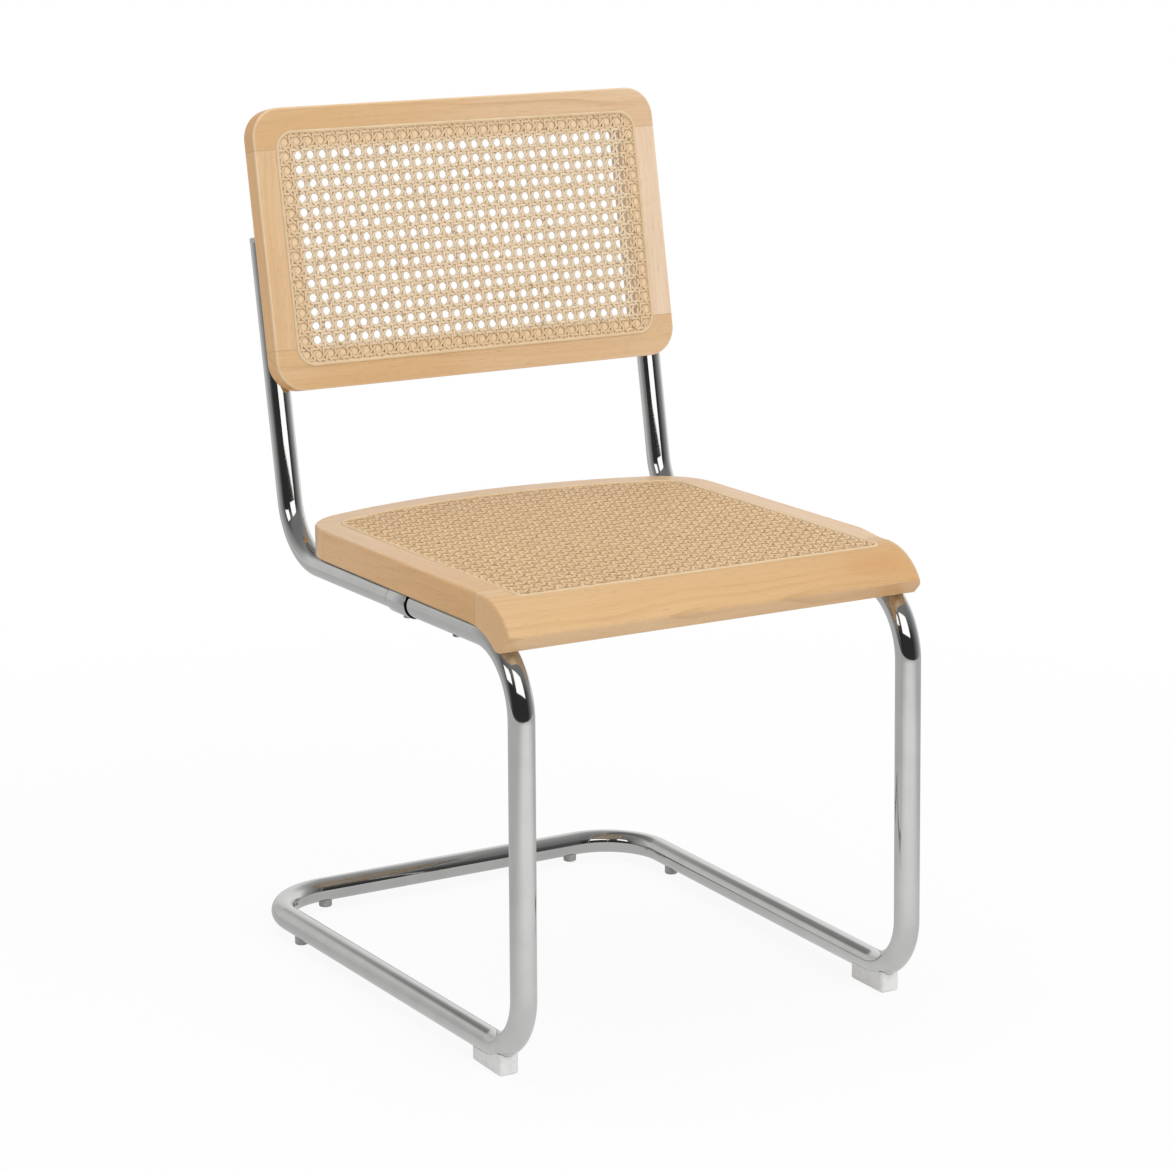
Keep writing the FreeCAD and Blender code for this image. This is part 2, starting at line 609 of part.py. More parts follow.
back_body = rounded_plate(0, BACK_CORNER, back_rear_face, back_front_face)
back_rims = rim_at(back_body, back_front_face) + rim_at(back_body, back_rear_face)
back_body = back_body.makeFillet(BACK_ROUND, back_rims)


def back_loop(inset, z0, z1):
    """Plate inside the line of the groove, inset from the groove's outer wall."""
    return rounded_plate(BACK_MARGIN + inset, BACK_CANE_CORNER - inset, z0, z1)


above_back = back_front_face + SEAT_THICKNESS
groove_floor = back_front_face - GROOVE_DEPTH
back_opening = rounded_plate(BACK_MEMBER, BACK_OPENING_CORNER, 0, above_back)
back_groove = back_loop(0, groove_floor, above_back).cut(back_loop(groove_width, groove_floor, above_back))
back_rebate = back_loop(0, back_front_face - CANE_THICKNESS - CANE_FIT, above_back)
back_body = back_body.cut([back_opening, back_groove, back_rebate])
upright_beds = [Part.makeCylinder(fit_r, UPRIGHT_LENGTH + CAP_THICKNESS + TUBE_FIT,
                                  V(side * UPRIGHT_SPREAD / 2, 0, 0), V(0, 1, 0)) for side in (-1, 1)]
back_body = back_body.cut(upright_beds)

back_dowels = []
back_dowel_holes = []
back_dowel_level = back_rear_face + BACK_DOWEL_DEPTH
lower_joint = back_lower + BACK_MEMBER
upper_joint = back_upper - BACK_MEMBER
back_dowel_line = BACK_WIDTH / 2 - BACK_MEMBER / 2
back_dowel_r = BACK_DOWEL_DIAMETER / 2
back_hole_length = BACK_DOWEL_LENGTH + 2 * DOWEL_END_GAP
upward = V(0, 1, 0)
for side in (-1, 1):
    for joint in (lower_joint, upper_joint):
        for step in (-0.5, 0.5):
            across = side * back_dowel_line + step * DOWEL_SPACING
            start = V(across, joint - BACK_DOWEL_LENGTH / 2, back_dowel_level)
            mouth = start - upward * DOWEL_END_GAP
            back_dowels.append(Part.makeCylinder(back_dowel_r, BACK_DOWEL_LENGTH, start, upward))
            hole = Part.makeCylinder(back_dowel_r + DOWEL_FIT, back_hole_length, mouth, upward)
            back_dowel_holes.append(hole)
back_body = back_body.cut(back_dowel_holes + back_screw_holes)


def back_span(x0, x1, y0, y1):
    """A thick block between two heights and two sides of the backrest."""
    return Part.makeBox(x1 - x0, y1 - y0, above_back, V(x0, y0, 0))


save("back_top_rail", on_back(one_solid(back_body.common(back_span(-far, far, upper_joint, far)))))
save("back_bottom_rail", on_back(one_solid(back_body.common(back_span(-far, far, 0, lower_joint)))))
save("back_left_stile", on_back(one_solid(back_body.common(back_span(-far, 0, lower_joint, upper_joint)))))
save("back_right_stile", on_back(one_solid(back_body.common(back_span(0, far, lower_joint, upper_joint)))))
save("back_dowels", on_back(Part.Compound(back_dowels)))

# Back cane: open meshes across the opening, edge turned down into the groove, and the spline over it
sheet_floor = back_front_face - CANE_THICKNESS
skirt_floor = back_front_face - CANE_SKIRT
back_sheet = back_loop(cane_outside, sheet_floor, back_front_face)
back_skirt = back_loop(cane_outside, skirt_floor, back_front_face)
back_skirt = back_skirt.cut(back_loop(groove_width - CANE_FIT, skirt_floor, back_front_face))
meshes = []
for i in range(HOLES_ACROSS):
    for j in range(HOLES_UP):
        x = (i - (HOLES_ACROSS - 1) / 2) * HOLE_PITCH_ACROSS
        y = back_middle + (j - (HOLES_UP - 1) / 2) * HOLE_PITCH_UP
        meshes.append(Part.Wire(Part.makeCircle(HOLE_DIAMETER / 2, V(x, y, sheet_floor))))
holed = Part.makeFace([wire_of(rim_at(back_sheet, sheet_floor))] + meshes, "Part::FaceMakerCheese")
back_cane = holed.extrude(V(0, 0, CANE_THICKNESS)).fuse(back_skirt)
save("back_cane", on_back(one_solid(back_cane)))
back_spline = back_loop(CANE_FIT, skirt_floor, back_front_face + SPLINE_PROUD)
back_spline = back_spline.cut(back_loop(SPLINE_WIDTH - CANE_FIT, skirt_floor, back_front_face + SPLINE_PROUD))
back_spline = back_spline.makeFillet(SPLINE_ROUND, rim_at(back_spline, back_front_face + SPLINE_PROUD))
save("back_spline", on_back(one_solid(back_spline)))
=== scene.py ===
import math
import random

import bpy
from mathutils import Matrix, Vector


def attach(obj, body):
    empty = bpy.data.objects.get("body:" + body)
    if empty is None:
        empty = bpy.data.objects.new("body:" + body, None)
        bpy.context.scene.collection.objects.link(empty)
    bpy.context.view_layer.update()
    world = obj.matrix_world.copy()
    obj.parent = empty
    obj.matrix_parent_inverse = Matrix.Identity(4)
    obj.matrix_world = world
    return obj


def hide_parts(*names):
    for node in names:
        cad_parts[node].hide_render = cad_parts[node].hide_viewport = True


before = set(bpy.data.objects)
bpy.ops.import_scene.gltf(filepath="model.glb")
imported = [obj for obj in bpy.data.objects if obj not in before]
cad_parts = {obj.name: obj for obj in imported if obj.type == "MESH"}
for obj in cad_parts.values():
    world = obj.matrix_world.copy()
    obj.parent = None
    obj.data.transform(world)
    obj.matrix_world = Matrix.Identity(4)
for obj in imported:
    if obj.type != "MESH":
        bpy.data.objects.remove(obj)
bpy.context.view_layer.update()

# Chromed tubes
# The frame is 25 mm steel tube, bent cold, polished and chromed. One length makes the front legs, the runners
# and the crossbar. Two shorter lengths make the rear of the seat rails and the uprights. Their swaged ends
# slip over the ends of the first under the seat.
TUBE_RADIUS = 0.0125
SEAT_RAIL_HEIGHT = 0.414
RUNNER_HEIGHT = 0.0235
LEG_TOP_SPREAD = 0.4216
LEG_FOOT_SPREAD = 0.4276
REAR_SPREAD = 0.4504
UPRIGHT_SPREAD = 0.4324
BASE_DEPTH = 0.552
SEAT_RAIL_LENGTH = 0.4574
UPRIGHT_LENGTH = 0.314
UPRIGHT_LEAN = math.radians(10.42)
FRAME_LEAN = math.radians(0.5)
FRONT_BEND = 0.070
FOOT_BEND = 0.060
CORNER_BEND = 0.069
BACK_BEND = 0.066
BEND_STEP = math.radians(2.5)
SOCKET_MOUTH = 0.197
SOCKET_RADIUS = 0.0143
SOCKET_DEPTH = 0.036
SOCKET_STEP = 0.004
TUBE_SIDES = 48
CHROME = (0.615, 0.615, 0.605, 1)
CHROME_CLOUD = (0.575, 0.575, 0.57, 1)
# Painted shade in the gaps where two tubes meet
PAINTED_GAP_SHADE = (0.012, 0.012, 0.013, 1)

# The frame is drawn level, with depths from the axis of the front legs, and leans back on its glides
lean_back = Matrix.Rotation(-FRAME_LEAN, 4, "X")
base_front = (lean_back @ Vector((0, FOOT_BEND, RUNNER_HEIGHT + FOOT_BEND))).y - FOOT_BEND - TUBE_RADIUS
base_rear = (lean_back @ Vector((0, BASE_DEPTH, RUNNER_HEIGHT))).y + TUBE_RADIUS
level_place = Matrix.Translation((0, -(base_front + base_rear) / 2, 0)) @ lean_back


def set_stops(ramp, stops):
    """A ramp of greys: places from 0 to 1 and the value at each."""
    for place, value in stops[1:-1]:
        ramp.elements.new(place)
    for element, (place, value) in zip(ramp.elements, stops):
        element.position = place
        element.color = (value, value, value, 1)


class Wire:
    """One output of a node. Arithmetic on it adds Math nodes, and node() adds any other node to its tree."""

    def __init__(self, tree, socket=None):
        self.tree = tree
        self.socket = socket

    def node(self, kind, settings=None, sockets=None, out=0):
        made = self.tree.nodes.new(kind)
        for name, setting in (settings or {}).items():
            if name == "stops":
                set_stops(made.color_ramp, setting)
            else:
                setattr(made, name, setting)
        for key, given in (sockets or {}).items():
            if isinstance(given, Wire):
                self.tree.links.new(given.socket, made.inputs[key])
            else:
                made.inputs[key].default_value = given
        return Wire(self.tree, made.outputs[out]) if made.outputs else None

    def maths(self, operation, first, second=0.0):
        return self.node("ShaderNodeMath", {"operation": operation}, {0: first, 1: second})

    def __add__(self, other):
        return self.maths("ADD", self, other)

    def __radd__(self, other):
        return self.maths("ADD", other, self)

    def __sub__(self, other):
        return self.maths("SUBTRACT", self, other)

    def __rsub__(self, other):
        return self.maths("SUBTRACT", other, self)

    def __mul__(self, other):
        return self.maths("MULTIPLY", self, other)

    def __rmul__(self, other):
        return self.maths("MULTIPLY", other, self)

    def __abs__(self):
        return self.maths("ABSOLUTE", self)

    def between(self, low, high):
        """0 below one value and 1 above the other, with a smooth step between them."""
        return self.node("ShaderNodeMapRange", {"interpolation_type": "SMOOTHSTEP"},
                         {"Value": self, "From Min": low, "From Max": high})

    def xyz(self):
        return [self.node("ShaderNodeSeparateXYZ", None, {0: self}, axis) for axis in "XYZ"]

    def point(self, x, y, z):
        return self.node("ShaderNodeCombineXYZ", None, {"X": x, "Y": y, "Z": z})

    def noise(self, vector, detail=2.0, scale=1.0):
        """Cloudy values around one half, with so many clouds to a unit of the vector."""
        return self.node("ShaderNodeTexNoise", None, {"Vector": vector, "Scale": scale, "Detail": detail})

    def mix(self, share, first, second, blend="MIX"):
        """Two colours mixed by a share of the second."""
        return self.node("ShaderNodeMix", {"data_type": "RGBA", "blend_type": blend},
                         {0: share, 6: first, 7: second}, 2)


def geometry_tree(name, sizes):
    """A Geometry Nodes tree with named inputs for its sizes, and the wires of those inputs."""
    tree = bpy.data.node_groups.new(name, "GeometryNodeTree")
    tree.interface.new_socket("Geometry", in_out="INPUT", socket_type="NodeSocketGeometry")
    for label, kind in sizes.items():
        tree.interface.new_socket(label, in_out="INPUT", socket_type="NodeSocket" + kind)
    tree.interface.new_socket("Geometry", in_out="OUTPUT", socket_type="NodeSocketGeometry")
    start = tree.nodes.new("NodeGroupInput")
    return tree, {socket.name: Wire(tree, socket) for socket in start.outputs if socket.name}


def finish_tree(mesh, finish):
    """Ends a tree: smooth faces, no instances left, one material."""
    mesh = mesh.node("GeometryNodeSetShadeSmooth", None, {"Geometry": mesh})
    mesh = mesh.node("GeometryNodeRealizeInstances", None, {"Geometry": mesh})
    mesh = mesh.node("GeometryNodeSetMaterial", None, {"Geometry": mesh, "Material": finish})
    mesh.node("NodeGroupOutput", None, {"Geometry": mesh})


def grow(name, source, tree, sizes):
    """Runs a tree on a mesh and keeps the result as a plain mesh in its place, its object at the origin."""
    seed = bpy.data.objects.new(name + "_path", source)
    bpy.context.collection.objects.link(seed)
    modifier = seed.modifiers.new("grow", "NODES")
    modifier.node_group = tree
    for item in tree.interface.items_tree:
        if item.in_out == "INPUT" and item.name in sizes:
            modifier[item.identifier] = sizes[item.name]
    shown = seed.evaluated_get(bpy.context.evaluated_depsgraph_get())
    piece = bpy.data.objects.new(name, bpy.data.meshes.new_from_object(shown))
    bpy.data.objects.remove(seed)
    bpy.context.collection.objects.link(piece)
    return piece


def lines_mesh(name, points, edges, **numbers):
    """A mesh of bare lines that carries numbers on its points."""
    mesh = bpy.data.meshes.new(name)
    mesh.from_pydata(points, edges, [])
    for label, values in numbers.items():
        mesh.attributes.new(label, "FLOAT", "POINT").data.foreach_set("value", values)
    return mesh


def stand_for(piece, slot, *nodes):
    """The piece moves with the chair and stands for solids of the frame, which it hides. Its slot is not
    used.
    """
    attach(piece, "root")
    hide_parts(*nodes)


def rod_tree():
    """A round rod along a path, as thick as the path's girth at each point."""
    tree, given = geometry_tree("swept rod", {"Sides": "Int", "Finish": "Material"})
    path = given["Geometry"]
    curve = path.node("GeometryNodeMeshToCurve", None, {"Mesh": path})
    girth = path.node("GeometryNodeInputNamedAttribute", {"data_type": "FLOAT"}, {"Name": "girth"})
    ring = path.node("GeometryNodeCurvePrimitiveCircle", None, {"Resolution": given["Sides"], "Radius": 1.0})
    swept = path.node("GeometryNodeCurveToMesh", None,
                      {"Curve": curve, "Profile Curve": ring, "Scale": girth, "Fill Caps": True})
    finish_tree(swept, given["Finish"])
    return tree


def bent_path(corners, bends):
    """Points along straight runs that are joined by tangent bends."""
    path = [corners[0]]
    for before, corner, after, bend in zip(corners, corners[1:], corners[2:], bends):
        behind = (before - corner).normalized()
        ahead = (after - corner).normalized()
        turn = math.pi - behind.angle(ahead)
        centre = corner + (behind + ahead).normalized() * (bend / math.cos(turn / 2))
        arm = corner + behind * bend * math.tan(turn / 2) - centre
        axis = ahead.cross(behind)
        steps = math.ceil(turn / BEND_STEP)
        path += [centre + Matrix.Rotation(turn * i / steps, 3, axis) @ arm for i in range(steps + 1)]
    path.append(corners[-1])
    return path


def rod(name, path, girths, shades, finish, sides, closed=False):
    """A swept rod; its shades are painted shade that darkens it where a gap lies."""
    edges = [(i, i + 1) for i in range(len(path) - 1)]
    if closed:
        edges.append((len(path) - 1, 0))
    source = lines_mesh(name, path, edges, girth=girths, shade=shades)
    return grow(name, source, swept_rod, {"Sides": sides, "Finish": finish})


def new_finish(name, **constants):
    """A material with one Principled shader: its pen, the shader, and the constants set on its sockets."""
    finish = bpy.data.materials.new(name)
    finish.use_nodes = True
    shader = finish.node_tree.nodes["Principled BSDF"]
    for label, value in constants.items():
        shader.inputs[label.replace("_", " ")].default_value = value
    return finish, Wire(finish.node_tree), shader


def paint(pen, shader, **wires):
    """Leads wires into sockets of the shader."""
    for label, wire in wires.items():
        pen.tree.links.new(wire.socket, shader.inputs[label.replace("_", " ")])


def place_in(pen, place):
    """Millimetres in a piece's own frame, from Object coordinates."""
    inverse = place.inverted()
    spot = pen.node("ShaderNodeTexCoord", None, None, "Object")
    return pen.node("ShaderNodeMapping", None,
                    {"Vector": spot, "Location": inverse.translation * 1000,
                     "Rotation": inverse.to_euler(), "Scale": (1000, 1000, 1000)})


def relief(pen, height, depth):
    """A bumped normal; the height's full range stands for a depth in metres."""
    return pen.node("ShaderNodeBump", None, {"Strength": 0.6, "Distance": depth, "Height": height}, "Normal")


def chrome_finish():
    """Bright chrome: faint clouds of polish, and painted shade, near black, where two tubes meet."""
    finish, pen, shader = new_finish("bright chrome", Metallic=1.0)
    spot = place_in(pen, level_place)
    cloud = pen.noise(spot, 3.0, 0.03)
    grit = pen.noise(spot, 2.0, 0.4)
    # Painted shade: the shade attribute darkens the chrome to near black in the socket's mouth and at its
    # taper
    gap = pen.node("ShaderNodeAttribute", {"attribute_name": "shade"}, None, "Fac")
    steel = pen.mix(cloud.between(0.3, 0.7), CHROME_CLOUD, CHROME)
    colour = pen.mix(gap, steel, PAINTED_GAP_SHADE)
    paint(pen, shader, Base_Color=colour, Roughness=0.035 + cloud * 0.03 + grit * 0.02 + gap * 0.5)
    return finish


def rail_point(side, depth):
    """A point on the axis of a seat rail; side is -1 on the left and +1 on the right."""
    half = (LEG_TOP_SPREAD + (UPRIGHT_SPREAD - LEG_TOP_SPREAD) * depth / SEAT_RAIL_LENGTH) / 2
    return Vector((side * half, depth, SEAT_RAIL_HEIGHT))


def half_base(side):
    """Corner points of one half of the base tube, from inside the socket to the crossbar."""
    return [
        rail_point(side, SOCKET_MOUTH + SOCKET_DEPTH),
        rail_point(side, 0),
        Vector((side * LEG_FOOT_SPREAD / 2, 0, RUNNER_HEIGHT)),
        Vector((side * REAR_SPREAD / 2, BASE_DEPTH, RUNNER_HEIGHT)),
    ]


swept_rod = rod_tree()
chrome = chrome_finish()
base_bends = [FRONT_BEND, FOOT_BEND, CORNER_BEND]
base_path = bent_path(half_base(-1) + half_base(1)[::-1], base_bends + base_bends[::-1])
base_path = [level_place @ point for point in base_path]
base_girths = [TUBE_RADIUS] * len(base_path)
base_tube = rod("base_tube", base_path, base_girths, [0.0] * len(base_path), chrome, TUBE_SIDES)
stand_for(base_tube, "chromed_tube", "base_frame_tube")

# The socket from its mouth, dark with painted shade, to the end of its taper: distance from the mouth,
# radius, shade
socket_profile = [
    (0.0, TUBE_RADIUS + 0.0006, 1.0),
    (0.0002, SOCKET_RADIUS - 0.0006, 1.0),
    (0.0005, SOCKET_RADIUS - 0.0002, 0.0),
    (0.0011, SOCKET_RADIUS, 0.0),
    (SOCKET_DEPTH - 0.0004, SOCKET_RADIUS, 0.0),
    (SOCKET_DEPTH, SOCKET_RADIUS - 0.0001, 0.0),
    (SOCKET_DEPTH + SOCKET_STEP - 0.0006, TUBE_RADIUS + 0.0003, 0.0),
    # A thin line of painted shade where the taper meets the plain tube
    (SOCKET_DEPTH + SOCKET_STEP, TUBE_RADIUS, 0.9),
    (SOCKET_DEPTH + SOCKET_STEP + 0.0006, TUBE_RADIUS, 0.0),
]
for side, word in ((-1, "left"), (1, "right")):
    mouth = rail_point(side, SOCKET_MOUTH)
    foot = rail_point(side, SEAT_RAIL_LENGTH)
    run = (foot - mouth).normalized()
    top = foot + Vector((0, math.sin(UPRIGHT_LEAN), math.cos(UPRIGHT_LEAN))) * UPRIGHT_LENGTH
    path = [mouth + run * distance for distance, radius, shade in socket_profile]
    rest = bent_path([path[-1], foot, top], [BACK_BEND])[1:]
    girths = [radius for distance, radius, shade in socket_profile] + [TUBE_RADIUS] * len(rest)
    shades = [shade for distance, radius, shade in socket_profile] + [0.0] * len(rest)
    path = [level_place @ point for point in path + rest]
    tube = rod(word + "_tube", path, girths, shades, chrome, TUBE_SIDES)
    stand_for(tube, "chromed_tube", word + "_back_tube")

# Screws
# Zinc-plated pan-head wood screws. One goes up through each seat rail and one through each socket into the
# seat, and two go forward through each upright into the back.
ZINC = (0.48, 0.485, 0.49, 1)
ZINC_DULL = (0.36, 0.365, 0.375, 1)


def zinc_finish():
    finish, pen, shader = new_finish("zinc plate", Metallic=1.0)
    spot = place_in(pen, level_place)
    spangle = pen.noise(spot, 3.0, 0.6)
    paint(pen, shader, Base_Color=pen.mix(spangle.between(0.35, 0.65), ZINC_DULL, ZINC),
          Roughness=0.22 + spangle * 0.2)
    return finish


def dress(finish, *nodes):
    """Gives solids of the frame a finish."""
    for node in nodes:
        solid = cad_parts[node]
        solid.data.materials.clear()
        solid.data.materials.append(finish)


zinc = zinc_finish()
for word in ("left", "right"):
    dress(zinc, word + "_seat_screw", word + "_joint_screw", word + "_back_screws")

# Glides and caps
# Moulded plastic: a milky shoe under each foot bend, a grey button under each runner and near each end of the
# crossbar, all pushed into holes of the tube on stems, and a pale plug in the open top of each upright.
SHOE_MILK = (0.86, 0.86, 0.85, 1)
SHOE_SCUFF = (0.78, 0.78, 0.77, 1)
BUTTON_GREY = (0.47, 0.47, 0.465, 1)
BUTTON_SCUFF = (0.38, 0.38, 0.375, 1)
CAP_GREY = (0.50, 0.51, 0.52, 1)
CAP_SCUFF = (0.43, 0.44, 0.45, 1)


def moulded_finish(name, colour, scuff):
    """Satin plastic with the fine grain of its mould and a few duller scuffs."""
    finish, pen, shader = new_finish(name, IOR=1.5)
    spot = place_in(pen, level_place)
    grain = pen.noise(spot, 2.0, 2.2)
    cloud = pen.noise(spot, 4.0, 0.12)
    paint(pen, shader, Base_Color=pen.mix(cloud.between(0.45, 0.75), colour, scuff),
          Roughness=0.34 + cloud * 0.2 + grain * 0.06, Normal=relief(pen, grain, 0.00003))
    return finish


shoe_plastic = moulded_finish("milky shoe plastic", SHOE_MILK, SHOE_SCUFF)
button_plastic = moulded_finish("grey button plastic", BUTTON_GREY, BUTTON_SCUFF)
cap_plastic = moulded_finish("pale cap plastic", CAP_GREY, CAP_SCUFF)
for word in ("left", "right"):
    dress(shoe_plastic, word + "_front_glide")
    dress(button_plastic, word + "_runner_glide", word + "_crossbar_glide")
    dress(cap_plastic, word + "_tube_cap")

# Seat frame
# Four lengths of steamed beech, sanded and lacquered: a front rail shaped as a waterfall, two side rails and
# a bowed rear rail, butted and dowelled. The frame lies on the seat rails and is screwed from below.
FRONT_JOINT_MM = 57.0
REAR_JOINT_MM = 372.0
JOINT_LINE_MM = 0.35
SEAT_HALF_WIDTH = 0.2265
SEAT_GRAIN_MM = (-226.0, 226.0)
BOARD_SHIFT_MM = (317.0, 71.0)
BED_SHADE_MM = (14.0, 15.6)
SEAT_BED_MM = 1.5
KNOT_MM = (184.0, 9.0)
KNOT_SPREAD_MM = (60.0, 16.0)
BEECH_PALE = (0.755, 0.49, 0.245, 1)
BEECH_TAN = (0.60, 0.355, 0.155, 1)
BEECH_BLUSH = (0.876, 0.687, 0.512, 1)
BEECH_WARM = (0.62, 0.333, 0.127, 1)
# Painted shade: an oranger, darker colour for the ends of the front rail and a tint for the outer side faces
SIDE_SHADE_AMBER = (0.80, 0.46, 0.192, 1)
SIDE_SHADE_TINT = (1.09, 0.96, 0.76, 1)
# Painted shade: a darker, greyer tint for the seat frame's underside
UNDERSIDE_SHADE_TINT = (0.60, 0.72, 0.95, 1)
BEECH_LATE = (0.50, 0.285, 0.115, 1)
BEECH_FLECK = (0.44, 0.25, 0.105, 1)
# Dark glue lines at the joints, and painted shade where a seat rail beds on its tube
JOINT_AND_BED_SHADE_BROWN = (0.26, 0.145, 0.07, 1)


def beech_finish(name, place, board, kind, joints, zones=()):
    """Lacquered beech: slow growth bands that end in darker late-wood lines, fine fibre streaks, short ray
    flecks, and glue lines at the joints. The board's number shifts its pattern. Its kind says whether the
    grain runs across the chair, where the board starts and ends, its hue at both ends (paler and pinker above
    0, browner below), how deep its colour is, and how strong its late-wood lines are. Zones are masks, each
    with a way of blending, a share and a colour; besides a browner knot, they paint shade, light and
    highlights into the wood."""
    grain_across, span, hues, depth, marks = kind
    finish, pen, shader = new_finish(name, IOR=1.48, Coat_Weight=0.35, Coat_Roughness=0.25)
    x, y, z = place_in(pen, place).xyz()
    along, across = (x, y) if grain_across else (y, x)
    hue = hues[0] + along.between(*span) * (hues[1] - hues[0])
    along = along + board * BOARD_SHIFT_MM[0]
    across = across + board * BOARD_SHIFT_MM[1]
    warp = pen.noise(pen.point(along * 0.0032, across * 0.012, z * 0.012))
    ring = across * 0.8 + z * 0.5 + warp * 46.0
    bands = pen.noise(pen.point(ring * 0.2, board * 3.7, 0.0)).between(0.32, 0.68)
    rings = ring * 0.1
    growth = pen.maths("FRACT", rings)
    year = pen.noise(pen.point((rings - growth) * 7.3, board * 2.1, 0.0)).between(0.4, 0.65)
    late = growth.between(0.55, 0.92) * (1 - growth.between(0.94, 1.0)) * year
    plain = pen.noise(pen.point(along * 0.007, across * 0.012, board * 5.3)).between(0.40, 0.60)
    streak = pen.noise(pen.point(along * 0.012, across * 0.85, z * 0.85), 4.0).between(0.25, 0.75)
    fleck = pen.noise(pen.point(along * 0.09, across * 1.2, z * 1.2), 1.0).between(0.60, 0.74)
    drift = pen.noise(pen.point(along * 0.006, across * 0.02, z * 0.02 + board)).between(0.35, 0.65)
    hue = hue + (drift - 0.5) * 0.2
    colour = pen.mix(hue, BEECH_PALE, BEECH_BLUSH)
    colour = pen.mix(hue * -1.0, colour, BEECH_WARM)
    colour = pen.mix(depth + bands * 0.18 + streak * 0.2, colour, BEECH_TAN)
    colour = pen.mix(late * (1 - plain * 0.85) * marks, colour, BEECH_LATE)
    colour = pen.mix(fleck * 0.35, colour, BEECH_FLECK)
    for zone, blend, share, shade in zones:
        colour = pen.mix(zone(x, y, z) * share, colour, shade, blend)
    for joint in joints:
        line = 1 - abs(y - joint).between(JOINT_LINE_MM * 0.4, JOINT_LINE_MM * 1.4)
        colour = pen.mix(line * 0.4, colour, JOINT_AND_BED_SHADE_BROWN)
    paint(pen, shader, Base_Color=colour, Roughness=0.4 + streak * 0.12,
          Normal=relief(pen, streak * 0.7 - fleck * 0.3, 0.00012))
    return finish


def tube_bed(x, y, z):
    """1 in the shade where a side rail of the seat beds on its tube."""
    half = LEG_TOP_SPREAD * 500 + y * ((UPRIGHT_SPREAD - LEG_TOP_SPREAD) / SEAT_RAIL_LENGTH / 2)
    beside, above = abs(x) - half, z - SEAT_RAIL_HEIGHT * 1000
    return 1 - x.maths("SQRT", beside * beside + above * above).between(*BED_SHADE_MM)


def seat_underside(x, y, z):
    """1 on the underside, which follows the bend of the tube in front and is darkened there as painted shade.
    """
    before = x.maths("MAXIMUM", FRONT_BEND * 1000 - y, 0.0)
    above = z - (SEAT_RAIL_HEIGHT - FRONT_BEND) * 1000
    reach = (FRONT_BEND + TUBE_RADIUS) * 1000 - SEAT_BED_MM
    return 1 - x.maths("SQRT", before * before + above * above).between(reach + 0.3, reach + 1.0)


def rail_knot(x, y, z):
    """1 in the middle of a browner swirl near the right end of the front rail."""
    along = (x - KNOT_MM[0]) * (1 / KNOT_SPREAD_MM[0])
    across = (y - KNOT_MM[1]) * (1 / KNOT_SPREAD_MM[1])
    swirl = x.noise(x.point(x * 0.025, y * 0.11, 0.0)) - 0.5
    return 1 - (x.maths("SQRT", along * along + across * across) + swirl * 0.9).between(0.1, 1.0)


def seat_sides(x, y, z):
    """1 on the outer faces of the side rails and the ends of the front rail."""
    return abs(x).between(SEAT_HALF_WIDTH * 1000 - 1.0, SEAT_HALF_WIDTH * 1000 - 0.2)


seat_joints = [FRONT_JOINT_MM, REAR_JOINT_MM]
seat_boards = {
    "front": (True, SEAT_GRAIN_MM, (0.12, -0.5), 0.0, 0.6),
    "rear": (True, SEAT_GRAIN_MM, (0.3, 0.3), 0.05, 0.25),
    "left": (False, seat_joints, (0.1, 0.4), 0.25, 0.2),
    "right": (False, seat_joints, (0.3, 0.3), 0.1, 0.2),
}
# Painted shade: the underside is tinted darker and greyer
underside = (seat_underside, "MULTIPLY", 1.0, UNDERSIDE_SHADE_TINT)
# Painted shade: the outer side faces are tinted oranger and darker
painted_side_shade = (seat_sides, "MULTIPLY", 1.0, SIDE_SHADE_TINT)
# Painted shade: the wood turns dark brown along the tube under each side rail
painted_bed_shade = (tube_bed, "MIX", 0.8, JOINT_AND_BED_SHADE_BROWN)
seat_zones = {
    # The ends of the front rail take painted shade, which also covers their grain lines
    "front": ((seat_sides, "MIX", 0.65, SIDE_SHADE_AMBER), (rail_knot, "MIX", 0.45, BEECH_WARM), underside),
    "rear": (painted_side_shade, underside),
    "left": (painted_side_shade, underside, painted_bed_shade),
    "right": (painted_side_shade, underside, painted_bed_shade),
}
for board, (part, kind) in enumerate(seat_boards.items()):
    beech = beech_finish("beech seat %s rail" % part, level_place, board, kind, seat_joints, seat_zones[part])
    dress(beech, "seat_%s_rail" % part)
dowel_kind = (False, (0.0, REAR_JOINT_MM), (0.3, 0.3), 0.0, 0.2)
dress(beech_finish("beech dowels", level_place, 9, dowel_kind, []), "seat_dowels", "back_dowels")

# Seat cane
# Octagonal cane webbing, machine-woven from split rattan skin: pairs of strands across and along, and single
# strands on both slants. It is pressed wet into a groove round the seat, over a stretched cloth that closes
# its meshes, and held there by a round reed spline.
SEAT_TOP = 0.455
SEAT_REAR = 0.468
SEAT_BOW = 0.540
SEAT_MARGIN = 0.028
SEAT_CANE_FRONT = 0.028
SEAT_FRONT_CORNER = 0.008
SEAT_REAR_CORNER = 0.028
WATERFALL_START = 0.045
WATERFALL_RADIUS = 0.061
SPLINE_HALF = 0.0017
SPLINE_PROUD = 0.0012
SPLINE_SIDES = 14
ARC_STEP = math.radians(6)
ARC_STEPS_LEAST = 6
CANE_DEPTH = 0.0007
MESH_ACROSS = 0.01322
MESH_UP = 0.01413
SEAT_LATTICE_DEPTH = 0.236
PAIR_HALF = 0.0015
PAIR_WIDTH = 0.003
SLANT_WIDTH = 0.0025
STRAND_STRAY = 0.00017
STRAND_THICKNESS = 0.0005
STRAND_WAVE = 0.00042
STRAND_STEP = 0.0022
